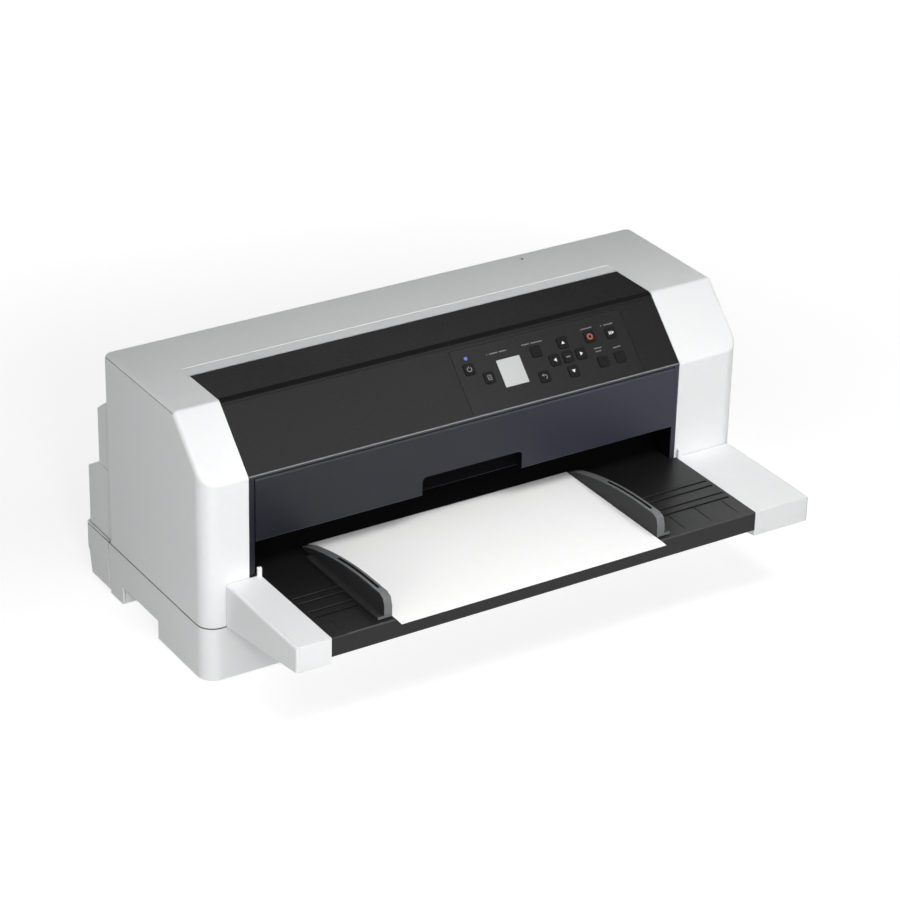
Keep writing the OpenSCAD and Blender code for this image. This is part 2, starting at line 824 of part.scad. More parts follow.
// side is 1 for the guide whose fin is at its right edge, -1 for the other
module edge_guide(x, side) {
    x_out = x - side * guide_w;
    z0 = table_z + slide_gap;
    back = table_y + guide_in + guide_len;
    fin = [min(x, x - side * fin_w), max(x, x - side * fin_w)];
    foot = [min(x, x_out), max(x, x_out)];
    color(dark_grey) difference() {
        union() {
            along_x(fin[0], fin[1]) fin_outline();
            box(foot, [table_y + guide_in, back - 20], [z0, z0 + 3]);
            for (y = groove_ys()) box(foot,
                [y + slide_gap, y + groove_w - slide_gap], [table_z - groove_t + slide_gap, z0 + 1]);
        }
        box([fin[0] + 3, fin[1] - 3], [table_y + guide_in + 18, table_y + guide_in + 95],
            [z0 + 12, z0 + guide_h + 1]);
    }
}

module edge_guide_left() {
    edge_guide(sheet_x - slide_gap, 1);
}

module edge_guide_right() {
    edge_guide(sheet_x + sheet_w + slide_gap, -1);
}

module paper_sheet() {
    color("white") box([sheet_x, sheet_x + sheet_w], [sheet_y, sheet_y + sheet_len],
        [sheet_z, sheet_z + sheet_t]);
}

// ---- chassis ----

module chassis_plate() {
    edge = wall + 1.5;
    color(steel) difference() {
        box([-half_w + edge, half_w - edge], [front_y + edge + 12, back_y - edge],
            [seam_z, plate_z]);
        for (x = [-post_x, post_x], y = post_ys)
            translate([x, y, seam_z - 1]) cylinder(h = plate_t + 2, r = 2.2);
    }
}

module chassis_screws() {
    color("#8b8f92") for (x = [-post_x, post_x], y = post_ys) translate([x, y, 0]) {
        difference() {
            translate([0, 0, plate_z]) cylinder(h = 2.6, r = 4);
            translate([0, 0, plate_z + 1.4]) for (a = [0, 90]) rotate([0, 0, a])
                translate([-2.5, -0.5, 0]) cube([5, 1, 2]);
        }
        translate([0, 0, seam_z - 12]) cylinder(h = 12 + plate_t + 0.2, r = 2);
    }
}

module side_plate(x) {
    difference() {
        along_x(x, x + plate_t) polygon([
            [plate_front, plate_z], [plate_front, pinch_z + 12],
            [feed_y1 - 14, rail_z + plate_rise / 2], [feed_y1 + 6, rail_z + plate_rise],
            [plate_back, rail_z + plate_rise], [plate_back, plate_z]]);
        for (y = [feed_y1, feed_y2]) {
            rod_x(x - 1, x + plate_t + 1, y, feed_z, feed_shaft_r + run_gap);
            rod_x(x - 1, x + plate_t + 1, y, pinch_z, pinch_shaft_r + run_gap);
        }
        rod_x(x - 1, x + plate_t + 1, rail_y, rail_z, rail_r + run_gap);
        rod_x(x - 1, x + plate_t + 1, idler_y, pinion_z, 3);
    }
}

module side_plate_left() {
    shelf_z = rail_z;
    color(steel) {
        side_plate(plate_x0 - plate_t);
        box([plate_x0 - 1, idle_x + 10], [belt_y - 10, belt_y + 10], [shelf_z, shelf_z + 2]);
        translate([idle_x, belt_y, shelf_z]) cylinder(h = 21, r = 2.5);
    }
}

module side_plate_right() {
    color(steel) {
        side_plate(plate_x1);
        rod_x(plate_x1 + 1, gear_x + gear_w + 2, idler_y, feed_z, pinch_shaft_r);
    }
}

module platen() {
    color("#3a3b3d") box([plate_x0, plate_x1], [idler_y - platen_w / 2, idler_y + platen_w / 2],
        [table_z - 12, table_z - 0.1]);
}

// ---- paper feed ----

// A toothed wheel; the teeth are thinned so that meshed pairs keep clear
module toothed(teeth, w, phase) {
    r = gear_m * teeth / 2;
    pitch = 360 / teeth;
    root = r - 1.15 * gear_m;
    tip = r + 0.8 * gear_m;
    linear_extrude(w) polygon([for (i = [0:teeth - 1])
        for (p = [[root, -0.27], [tip, -0.09], [tip, 0.09], [root, 0.27]])
            let (a = (i + p[1]) * pitch + phase) [p[0] * cos(a), p[0] * sin(a)]]);
}

// Turns a wheel so that its axis lies along X and its zero mark points to +Y
module wheel_on_x(x, y, z) {
    translate([x, y, z]) rotate([90, 0, 90]) children();
}

module feed_roller(y) {
    color("#2b2b2d") for (i = [0:3]) {
        w = (plate_x1 - plate_x0) / 4;
        rod_x(plate_x0 + i * w + 18, plate_x0 + (i + 1) * w - 18, y, feed_z, feed_r);
    }
    color(steel) rod_x(plate_x0 - plate_t - 4, gear_x + gear_w + 2, y, feed_z, feed_shaft_r);
    color("#d8d4c4") wheel_on_x(gear_x, y, feed_z) toothed(gear_teeth, gear_w, 0);
}

module pinch_roller(y) {
    color("#2b2b2d") for (i = [0:3]) {
        w = (plate_x1 - plate_x0) / 4;
        rod_x(plate_x0 + i * w + 18, plate_x0 + (i + 1) * w - 18, y, pinch_z, pinch_r);
    }
    color(steel) rod_x(plate_x0 - plate_t - 3, plate_x1 + plate_t + 1.4, y, pinch_z,
        pinch_shaft_r);
}

module idler_gear() {
    color("#d8d4c4") wheel_on_x(gear_x, idler_y, feed_z) difference() {
        toothed(gear_teeth, gear_w, 180 / gear_teeth);
        translate([0, 0, -1]) cylinder(h = gear_w + 2, r = pinch_shaft_r + run_gap);
    }
}

module motor_pinion() {
    color("#b9a25a") {
        wheel_on_x(gear_x, idler_y, pinion_z) toothed(pinion_teeth, gear_w, 0);
        rod_x(plate_x1 - 20, gear_x + gear_w, idler_y, pinion_z, 2);
    }
}

module feed_motor() {
    color("#5a5d60") difference() {
        union() {
            rod_x(plate_x1 - feed_motor_l, plate_x1, idler_y, pinion_z, feed_motor_r);
            box([plate_x1 - plate_t, plate_x1], [idler_y - 22, idler_y + 22],
                [pinion_z - 14, pinion_z + 14]);
        }
        rod_x(plate_x1 - 21, plate_x1 + 1, idler_y, pinion_z, 2 + run_gap);
    }
}

// ---- print carriage ----

module carriage_shaft() {
    color("#c6c9cb") rod_x(plate_x0 - plate_t - 3, plate_x1 + plate_t + 3, rail_y, rail_z, rail_r);
}

module carriage_rail() {
    color(steel) box([plate_x0, plate_x1], [guide_rail_y, guide_rail_y + 3],
        [rail_z - 20, rail_z - 2]);
}

module print_carriage() {
    x0 = carriage_x - carriage_w / 2;
    x1 = carriage_x + carriage_w / 2;
    color("#3f4043") difference() {
        union() {
            box([x0, x1], [head_y - 14, rail_y + 8], [rail_z - 22, rail_z - 10]);
            box([x0, x1], [rail_y - 10, rail_y + 10], [rail_z - 14, rail_z + 12]);
            box([x0 + 8, x1 - 8], [rail_y + 8, guide_rail_y - slide_gap], [rail_z - 12, rail_z - 3]);
            box([carriage_x - 14, carriage_x + 14], [rail_y + 5, belt_y - pulley_r + 3.6],
                [rail_z, rail_z + 5.5]);
            for (y = [belt_y - pulley_r - 6.5, belt_y - pulley_r + 1])
                box([carriage_x - 14, carriage_x + 14], [y, y + 2.6], [rail_z + 3, belt_z + 6]);
        }
        rod_x(x0 - 1, x1 + 1, rail_y, rail_z, rail_r + run_gap);
        box([carriage_x - 19, carriage_x + 19], [head_y - 13, head_y + 13],
            [rail_z - 23, rail_z - 9]);
    }
}

module print_head() {
    x = carriage_x;
    color("#6d7073") {
        box([x - 18, x + 18], [head_y - 12, head_y + 12], [ribbon_z + 12, rail_z + 6]);
        box([x - 24, x + 24], [head_y - 14, head_y + 14], [rail_z - 10, rail_z - 7]);
        for (i = [0:5]) box([x - 18, x + 18], [head_y - 12 + i * 4.4, head_y - 10 + i * 4.4],
            [rail_z + 5, rail_z + 26]);
        box([x - 9, x + 9], [head_y - 5, head_y + 5], [ribbon_z + 1, ribbon_z + 13]);
    }
}

module ribbon_cartridge() {
    body = [plate_x0 + 43, plate_x1 - 42];
    arm_y = feed_y1 + 12;
    z = rail_z - 8;
    color("#262628") {
        box(body, [feed_y1 - 14, arm_y], [z, z + 20]);
        box([plate_x0, plate_x1], [feed_y1 - 8, feed_y1 + 6], [z + 4, z + 12]);
        for (x = [plate_x0 + 21, plate_x1 - 32]) along_x(x, x + 11) polygon([
            [feed_y1 - 4, z + 5], [arm_y, z + 5], [head_y - 6, ribbon_z + 13],
            [head_y + 8, ribbon_z + 7], [head_y + 8, ribbon_z - 0.2], [head_y - 12, ribbon_z - 0.2],
            [feed_y1 + 8, ribbon_z + 18]]);
        translate([body[0] + 30, feed_y1 - 1, z + 19]) cylinder(h = 7, r = 9);
    }
    color("#111112") box([plate_x0 + 30, plate_x1 - 30], [head_y - 6, head_y + 6],
        [ribbon_z, ribbon_z + 0.4]);
}

module belt_ring(r) {
    translate([idle_x, belt_y]) circle(r);
    translate([drive_x, belt_y]) circle(r);
    translate([idle_x, belt_y - r]) square([drive_x - idle_x, 2 * r]);
}

module carriage_belt() {
    inner = pulley_r + slide_gap;
    color("#1b1b1c") translate([0, 0, belt_z]) linear_extrude(belt_w) difference() {
        belt_ring(inner + belt_t);
        belt_ring(inner);
    }
}

module pulley(x, shaft_r) {
    difference() {
        union() {
            translate([x, belt_y, belt_z - slide_gap - 1.2]) {
                cylinder(h = belt_w + 2 * slide_gap + 2.4, r = pulley_r);
                cylinder(h = 1.2, r = pulley_r + 2.2);
            }
            translate([x, belt_y, belt_z + belt_w + slide_gap]) cylinder(h = 1.2, r = pulley_r + 2.2);
        }
        if (shaft_r > 0) translate([x, belt_y, belt_z - 5])
            cylinder(h = belt_w + 10, r = shaft_r + run_gap);
    }
}

module drive_pulley() {
    color("#b9a25a") {
        pulley(drive_x, 0);
        translate([drive_x, belt_y, rail_z - 12]) cylinder(h = belt_z - rail_z + 12, r = 2.5);
    }
}

module idler_pulley() {
    color("#d8d4c4") pulley(idle_x, 2.5);
}

module carriage_motor() {
    color("#5a5d60") difference() {
        union() {
            translate([drive_x, belt_y, rail_z + 1 - carriage_motor_l])
                cylinder(h = carriage_motor_l, r = carriage_motor_r);
            box([drive_x - 20, plate_x1], [belt_y - 19, belt_y + 19], [rail_z, rail_z + 2]);
        }
        translate([drive_x, belt_y, rail_z - 13]) cylinder(h = 20, r = 2.5 + run_gap);
    }
}

// ---- rear tractors ----

module tractor_shaft() {
    color(steel) rod_x(-bracket_x - 8, bracket_x + 8, tractor_y, tractor_z, tractor_r);
}

module tractor(x) {
    color("#d3d0c6") difference() {
        union() {
            box([x - tractor_w / 2, x + tractor_w / 2], [tractor_y - 16, tractor_y + 16],
                [tractor_z - 9, table_z + 2]);
            box([x - tractor_w / 2, x + tractor_w / 2 - 3], [tractor_y - 14, tractor_y + 14],
                [table_z + 3.4, table_z + 6]);
            box([x - tractor_w / 2, x - tractor_w / 2 + 2.5], [tractor_y - 14, tractor_y + 14],
                [table_z, table_z + 6]);
        }
        rod_x(x - tractor_w, x + tractor_w, tractor_y, tractor_z, tractor_r + run_gap);
    }
}

module tractor_left() {
    tractor(tractor_x0);
}

module tractor_right() {
    tractor(tractor_x1);
}

// ---- electronics ----

// A circuit board on four pillars that stand on the floor of the base
module board(x0, x1, y0, y1, z) {
    box([x0, x1], [y0, y1], [z, z + board_t]);
    for (x = [x0 + 6, x1 - 6], y = [y0 + 6, y1 - 6])
        translate([x, y, base_lift + floor_t]) cylinder(h = z - base_lift - floor_t + 0.1, r = 3);
}

module power_board() {
    x0 = power_x0;
    y0 = front_y + board_y;
    z = 14;
    color("#7a6a3c") board(x0, x0 + power_board_s, y0, y0 + power_board_s, z);
    color("#d0b040") box([x0 + 40, x0 + 80], [y0 + 70, y0 + 110], [z + 1, z + 34]);
    color("#9a9da0") box([x0 + 100, x0 + 104], [y0 + 20, y0 + 130], [z + 1, z + 32]);
    color("#30363f") for (i = [0:2]) translate([x0 + 20 + i * 26, y0 + 32, z + 1])
        cylinder(h = 30, r = 10);
}

module main_board() {
    x0 = power_x0 + power_board_s + board_apart;
    x1 = half_w - board_in;
    y0 = front_y + board_y;
    y1 = recess_y - wall - 6;
    z = 10;
    color("#2f6b48") {
        box([x0, x1], [y0, y1], [z, z + board_t]);
        for (x = [x0 + 6, x1 - 6], y = [y0 + 6, y0 + 150])
            translate([x, y, base_lift + floor_t])
                cylinder(h = z - base_lift - floor_t + 0.1, r = 3);
    }
    color("#222224") for (p = [[60, 30, 32], [120, 60, 24], [60, 100, 20], [150, 110, 18]])
        box([x0 + p[0], x0 + p[0] + p[2]], [y0 + p[1], y0 + p[1] + p[2]], [z + 1, z + 5]);
    color("#8b8f92") {
        box([ports_x - 50, ports_x - 4], [y1 - 16, recess_y + 3], [16.5, 28]);
        box([ports_x + 10, ports_x + 24], [y1 - 16, recess_y + 1.5], [16.5, 28]);
        box([ports_x + 34, ports_x + 50], [y1 - 16, recess_y + 1.5], [16.5, 29]);
        for (x = [ports_x - 46, ports_x + 12, ports_x + 36])
            box([x, x + 10], [y1 - 14, y1 - 4], [z + 1, 17]);
    }
}

module ac_inlet() {
    color("#1b1b1c") difference() {
        union() {
            box([inlet_x - 21.5, inlet_x + 21.5], [recess_y - wall - 14, recess_y + 1], [20.5, 43.5]);
            box([inlet_x - 25, inlet_x + 25], [recess_y, recess_y + 2.5], [17, 47]);
        }
        box([inlet_x - 13, inlet_x + 13], [recess_y - 13, recess_y + 3], [24, 40]);
    }
    color(steel) for (x = [-7, 0, 7])
        box([inlet_x + x - 1, inlet_x + x + 1], [recess_y - 14, recess_y - 2], [29, 35]);
}

base_case();
upper_case();
rear_housing();
rear_cover();
top_panel();
trim_strip();
control_panel();
panel_board();
lcd_window();
status_led();
color(dark_grey) push_button("power_button");  // power_button
color(dark_grey) push_button("sheet_button");  // sheet_button
color(dark_grey) push_button("source_button");  // source_button
color(dark_grey) push_button("back_button");  // back_button
color(dark_grey) push_button("up_button");  // up_button
color(dark_grey) push_button("left_button");  // left_button
color(dark_grey) push_button("ok_button");  // ok_button
color(dark_grey) push_button("right_button");  // right_button
color(dark_grey) push_button("down_button");  // down_button
color("#d2552a") push_button("cancel_button");  // cancel_button
color(dark_grey) push_button("pause_button");  // pause_button
color(dark_grey) push_button("tear_button");  // tear_button
color(dark_grey) push_button("load_button");  // load_button
front_cover();
opening_frame();
inner_paper_guide();
front_table();
table_arm_left();
table_arm_right();
edge_guide_left();
edge_guide_right();
paper_sheet();
feet();
chassis_plate();
chassis_screws();
side_plate_left();
side_plate_right();
platen();
feed_roller(feed_y1);  // front_feed_roller
feed_roller(feed_y2);  // rear_feed_roller
pinch_roller(feed_y1);  // front_pinch_roller
pinch_roller(feed_y2);  // rear_pinch_roller
idler_gear();
motor_pinion();
feed_motor();
carriage_shaft();
carriage_rail();
print_carriage();
print_head();
ribbon_cartridge();
carriage_belt();
drive_pulley();
idler_pulley();
carriage_motor();
tractor_shaft();
tractor_left();
tractor_right();
power_board();
main_board();
ac_inlet();
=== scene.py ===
import json
import math

import bmesh
import bpy
from mathutils import Matrix, Vector


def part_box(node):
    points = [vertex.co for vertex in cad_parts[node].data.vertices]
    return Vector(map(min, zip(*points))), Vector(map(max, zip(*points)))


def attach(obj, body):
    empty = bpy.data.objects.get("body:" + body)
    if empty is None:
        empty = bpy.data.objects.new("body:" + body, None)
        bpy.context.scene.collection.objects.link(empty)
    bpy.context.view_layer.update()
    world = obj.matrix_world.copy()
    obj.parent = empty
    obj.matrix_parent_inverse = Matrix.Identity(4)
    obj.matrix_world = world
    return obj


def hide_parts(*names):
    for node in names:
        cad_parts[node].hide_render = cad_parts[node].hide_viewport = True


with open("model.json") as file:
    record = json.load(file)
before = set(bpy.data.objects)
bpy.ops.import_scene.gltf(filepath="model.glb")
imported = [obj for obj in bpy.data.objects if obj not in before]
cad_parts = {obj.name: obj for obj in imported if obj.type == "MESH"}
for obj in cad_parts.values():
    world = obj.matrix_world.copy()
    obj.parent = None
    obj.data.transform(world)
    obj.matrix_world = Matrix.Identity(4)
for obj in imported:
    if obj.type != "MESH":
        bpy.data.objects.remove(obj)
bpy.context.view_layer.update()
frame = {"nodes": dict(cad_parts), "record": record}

NODES = frame["nodes"]
BODY_OF = {node: body for body, nodes in frame["record"]["behaviour"]["bodies"].items() for node in nodes}
MM = 0.001
DIAGONAL = math.sqrt(0.5)

# The printer's main lines, in millimetres of the shared frame.
HALF_WIDTH = 319.5
TABLE_FRONT, CASE_FRONT, CREASE_Y, STRIP_Y, CASE_BACK, REAR = -197.0, -57.0, 1.5, 62.5, 154.0, 208.0
ZONE_LEFT, ZONE_RIGHT = -269.5, 241.0
TABLE_TOP, SEAM, SLOPE_FOOT, TOP = 109.0, 61.0, 219.0, 277.5
REAR_COVER_HALF, REAR_COVER_BACK = 316.0, 180.0
RECESS_LEFT, RECESS_RIGHT, RECESS_TOP, COVER_BOTTOM = -72.0, 47.0, 167.0, 147.0
PORT_FACE = 193.5


# -------- shader and geometry tree helpers

def feed(tree, node, sockets):
    """Fills a node's inputs by name or number: a socket is linked and a value is set."""
    for name, value in sockets.items():
        if isinstance(value, bpy.types.NodeSocket):
            tree.links.new(value, node.inputs[name])
        else:
            node.inputs[name].default_value = value


def put(tree, kind, sockets=None, **settings):
    """Adds one node with its inputs and its settings."""
    node = tree.nodes.new(kind)
    for name, value in settings.items():
        setattr(node, name, value)
    feed(tree, node, sockets or {})
    return node


def calc(tree, operation, first, second, clamp=False):
    """One step of arithmetic."""
    return put(tree, "ShaderNodeMath", {0: first, 1: second}, operation=operation, use_clamp=clamp).outputs[0]


def remap(tree, value, start, end, low=0.0, high=1.0, way="LINEAR"):
    """Maps a value from one range onto another."""
    return put(tree, "ShaderNodeMapRange",
               {"Value": value, "From Min": start, "From Max": end, "To Min": low, "To Max": high},
               interpolation_type=way).outputs["Result"]


def blend(tree, share, first, second):
    """A colour between two."""
    mix = put(tree, "ShaderNodeMix", data_type="RGBA")
    feed(tree, mix, {0: share, 6: first, 7: second})
    return mix.outputs[2]


def object_place(tree):
    """The place on the piece, which doesn't move with the joints."""
    return put(tree, "ShaderNodeTexCoord").outputs["Object"]


def noise(tree, place, scale, detail, roughness=0.5):
    return put(tree, "ShaderNodeTexNoise",
               {"Vector": place, "Scale": scale, "Detail": detail, "Roughness": roughness}).outputs["Fac"]


def socket_kind(label):
    """What a group's socket carries, told by its label."""
    if label.endswith(("Color", "Shade")):
        return "NodeSocketColor"
    return {"Geometry": "NodeSocketGeometry", "Finish": "NodeSocketMaterial",
            "Stretch": "NodeSocketVector"}.get(label, "NodeSocketFloat")


def new_group(name, inputs, outputs, kind="ShaderNodeTree"):
    """A node group with inputs (label: value) and labelled outputs."""
    tree = bpy.data.node_groups.new(name, kind)
    for label, value in inputs.items():
        made = tree.interface.new_socket(name=label, in_out="INPUT", socket_type=socket_kind(label))
        if value is not None:
            made.default_value = value
    for label in outputs:
        tree.interface.new_socket(name=label, in_out="OUTPUT", socket_type=socket_kind(label))
    return tree, put(tree, "NodeGroupInput").outputs, put(tree, "NodeGroupOutput")


# -------- effects shared by the finishes

MIDDLE_GREY = (0.5, 0.5, 0.5, 1)


def wandering(tree, given, swing):
    """The given roughness, which wanders with a noise."""
    scaled = calc(tree, "MULTIPLY", calc(tree, "SUBTRACT", swing, 0.5), given["Wander"])
    return calc(tree, "ADD", given["Roughness"], scaled, clamp=True)


def laid_over(tree, given, out, where, some, other):
    """Ends a group that lays another colour over the given one where two masks say so."""
    share = calc(tree, "MULTIPLY", calc(tree, "MULTIPLY", where, some), given["Amount"], clamp=True)
    feed(tree, out, {"Color": blend(tree, share, given["Color"], given[other])})
    return tree


def moulding_grain_group():
    """The spark-eroded grain of a moulding: a height for the bump, and a roughness that wanders a little."""
    tree, given, out = new_group("moulding_grain", {"Grain Size": 0.5, "Roughness": 0.5, "Wander": 0.1},
                                 ["Height", "Roughness"])
    place = object_place(tree)
    pitch = calc(tree, "DIVIDE", 1 / MM, given["Grain Size"])
    feed(tree, out, {"Height": noise(tree, place, pitch, 2.0, 0.6),
                     "Roughness": wandering(tree, given, noise(tree, place, 14.0, 4.0))})
    return tree


def tone_drift_group():
    """The slow change of tone over a large moulding, and a trace of fine mottling."""
    tree, given, out = new_group(
        "tone_drift", {"Color": (0.8, 0.8, 0.8, 1), "Shade": (0.7, 0.7, 0.7, 1), "Amount": 0.3}, ["Color"])
    place = object_place(tree)
    mixed = calc(tree, "MULTIPLY", noise(tree, place, 5.0, 2.0), noise(tree, place, 160.0, 3.0))
    share = remap(tree, mixed, 0.12, 0.42, high=given["Amount"])
    feed(tree, out, {"Color": blend(tree, share, given["Color"], given["Shade"])})
    return tree


def rubbed_edges_group():
    """Edges rubbed by hands and paper: reads the pieces' own edge attribute, broken up by noise."""
    tree, given, out = new_group(
        "rubbed_edges", {"Color": MIDDLE_GREY, "Rubbed Color": (0.6, 0.6, 0.6, 1), "Amount": 0.3}, ["Color"])
    edge = put(tree, "ShaderNodeAttribute", attribute_name="edge").outputs["Fac"]
    patches = remap(tree, noise(tree, object_place(tree), 90.0, 3.0), 0.35, 0.7)
    return laid_over(tree, given, out, edge, patches, "Rubbed Color")


def settled_dust_group():
    """A trace of dust on what faces up."""
    tree, given, out = new_group(
        "settled_dust", {"Color": MIDDLE_GREY, "Dust Color": (0.42, 0.41, 0.4, 1), "Amount": 0.05}, ["Color"])
    facing = put(tree, "ShaderNodeSeparateXYZ", {0: put(tree, "ShaderNodeTexCoord").outputs["Normal"]})
    up = remap(tree, facing.outputs["Z"], 0.4, 1.0)
    specks = remap(tree, noise(tree, object_place(tree), 420.0, 4.0), 0.4, 0.8)
    return laid_over(tree, given, out, up, specks, "Dust Color")


def drawn_lines_group():
    """Fine lines drawn along one direction, as on brushed, turned or rolled metal."""
    tree, given, out = new_group(
        "drawn_lines", {"Stretch": (20.0, 900.0, 900.0), "Roughness": 0.3, "Wander": 0.2}, ["Lines", "Roughness"])
    along = put(tree, "ShaderNodeVectorMath", {0: object_place(tree), 1: given["Stretch"]}, operation="MULTIPLY")
    lines = noise(tree, along.outputs[0], 1.0, 3.0)
    feed(tree, out, {"Lines": lines, "Roughness": wandering(tree, given, lines)})
    return tree


def painted_light_fade_group():
    """Lets a colour change gradually from one place across the printer to another: a painted shade across the width
    on the black plastics, and a painted reflection on the smoked cover.
    """
    tree, given, out = new_group(
        "painted_light_fade", {"Color": MIDDLE_GREY, "Full At": 0.0, "Faded At": 0.2, "Faded": 1.0}, ["Color"])
    across = put(tree, "ShaderNodeSeparateXYZ", {0: object_place(tree)}).outputs["X"]
    mask = remap(tree, across, given["Full At"], given["Faded At"], way="SMOOTHSTEP")
    changed = put(tree, "ShaderNodeVectorMath", operation="SCALE")
    feed(tree, changed, {0: given["Color"], "Scale": remap(tree, mask, 0.0, 1.0, 1.0, given["Faded"])})
    feed(tree, out, {"Color": changed.outputs["Vector"]})
    return tree


GRAIN, DRIFT, RUBBED, DUST, LINES, PAINTED_LIGHT_FADE = (
    moulding_grain_group(), tone_drift_group(), rubbed_edges_group(), settled_dust_group(), drawn_lines_group(),
    painted_light_fade_group())


# -------- finishes

FINISH = {}
FINE, COARSE = 0.00002, 0.00003


def shade(colour, by=1.0):
    """The colour, darker or lighter by a factor, as RGBA."""
    return tuple(min(1.0, c * by) for c in colour[:3]) + (1.0,)


def new_finish(name):
    """An empty material with its Principled shader."""
    finish = bpy.data.materials.new(name)
    finish.use_nodes = True
    FINISH[name] = finish
    return finish.node_tree, finish.node_tree.nodes["Principled BSDF"]


def use(tree, group, **given):
    """A shared effect placed in a material with this material's own values."""
    effect = put(tree, "ShaderNodeGroup", node_tree=group)
    feed(tree, effect, {name.replace("_", " "): value for name, value in given.items()})
    return effect.outputs


def drifting(tree, colour, darker, amount):
    """A colour that drifts toward a darker shade of itself."""
    return use(tree, DRIFT, Color=shade(colour), Shade=shade(colour, darker), Amount=amount)["Color"]


def bump(tree, height, strength, distance=FINE):
    return put(tree, "ShaderNodeBump",
               {"Height": height, "Strength": strength, "Distance": distance}).outputs["Normal"]


def moulding(name, colour, roughness, grain=0.5, depth=0.03, drift=0.35, rub=0.25, rubbed=1.35, dust=0.04,
             specular=0.5, coat=0.0, fade=None):
    """An injection-moulded plastic; fade is where the painted light across the width starts to change the colour,
    where it has changed it, and by what factor.
    """
    tree, shader = new_finish(name)
    tone = drifting(tree, colour, 0.93, drift)
    if fade:
        tone = use(tree, PAINTED_LIGHT_FADE, Color=tone, Full_At=fade[0], Faded_At=fade[1], Faded=fade[2])["Color"]
    tone = use(tree, RUBBED, Color=tone, Rubbed_Color=shade(colour, rubbed), Amount=rub)["Color"]
    surface = use(tree, GRAIN, Grain_Size=grain, Roughness=roughness, Wander=0.12)
    feed(tree, shader, {"Base Color": use(tree, DUST, Color=tone, Amount=dust)["Color"],
                        "Roughness": surface["Roughness"], "Normal": bump(tree, surface["Height"], depth * 10),
                        "Specular IOR Level": specular, "Coat Weight": coat, "Coat Roughness": 0.12})


def metal(name, colour, roughness, stretch, metallic=1.0):
    """A plated, turned or rolled metal."""
    tree, shader = new_finish(name)
    drawn = use(tree, LINES, Stretch=stretch, Roughness=roughness, Wander=0.25)
    tone = blend(tree, drawn["Lines"], shade(colour, 0.86), shade(colour, 1.1))
    feed(tree, shader, {
        "Base Color": use(tree, RUBBED, Color=tone, Rubbed_Color=shade(colour, 1.3), Amount=0.5)["Color"],
        "Roughness": drawn["Roughness"], "Normal": bump(tree, drawn["Lines"], 0.15), "Metallic": metallic})


def rubber(name, colour):
    """Black rubber with a ground surface."""
    tree, shader = new_finish(name)
    tone = drifting(tree, colour, 0.7, 0.6)
    surface = use(tree, GRAIN, Grain_Size=0.25, Roughness=0.82, Wander=0.15)
    feed(tree, shader, {
        "Base Color": use(tree, DUST, Color=tone, Dust_Color=(0.16, 0.16, 0.16, 1), Amount=0.3)["Color"],
        "Roughness": surface["Roughness"], "Normal": bump(tree, surface["Height"], 0.5, COARSE),
        "Specular IOR Level": 0.3})


def lit(name, colour, glow, strength, roughness=0.3):
    """A lamp or a lit mark: clear plastic over a light that is brighter in places."""
    tree, shader = new_finish(name)
    surface = use(tree, GRAIN, Grain_Size=0.4, Roughness=roughness, Wander=0.08)
    feed(tree, shader, {"Base Color": drifting(tree, colour, 0.75, 0.5), "Roughness": surface["Roughness"],
                        "Emission Color": drifting(tree, glow, 0.7, 0.6), "Emission Strength": strength})


def paper_finish():
    """Plain printing paper: fine fibres, quite matte."""
    tree, shader = new_finish("plain paper")
    tone = use(tree, DRIFT, Color=(0.95, 0.95, 0.945, 1), Shade=(0.9, 0.9, 0.895, 1), Amount=0.35)
    surface = use(tree, GRAIN, Grain_Size=0.3, Roughness=0.8, Wander=0.1)
    fibres = noise(tree, object_place(tree), 1400.0, 4.0, 0.7)
    feed(tree, shader, {"Base Color": tone["Color"], "Roughness": surface["Roughness"],
                        "Normal": bump(tree, fibres, 0.2), "Specular IOR Level": 0.25})


def display_finish():
    """The pale display: rows of cells under a clear cover, a little brighter in places."""
    tree, shader = new_finish("pale display")
    cells = put(tree, "ShaderNodeTexBrick",
                {"Vector": object_place(tree), "Scale": 1.0, "Mortar Size": 0.00008, "Brick Width": 0.0006,
                 "Row Height": 0.0006, "Color1": (0.41, 0.415, 0.415, 1), "Color2": (0.39, 0.395, 0.395, 1),
                 "Mortar": (0.36, 0.365, 0.365, 1)}, offset=0.0)
    tone = use(tree, DRIFT, Color=cells.outputs["Color"], Shade=(0.34, 0.345, 0.345, 1), Amount=0.35)
    glow = use(tree, DRIFT, Color=(0.62, 0.63, 0.62, 1), Shade=(0.5, 0.51, 0.5, 1), Amount=0.5)
    surface = use(tree, GRAIN, Grain_Size=0.6, Roughness=0.2, Wander=0.05)
    feed(tree, shader, {"Base Color": tone["Color"], "Roughness": surface["Roughness"],
                        "Emission Color": glow["Color"], "Emission Strength": 0.12})


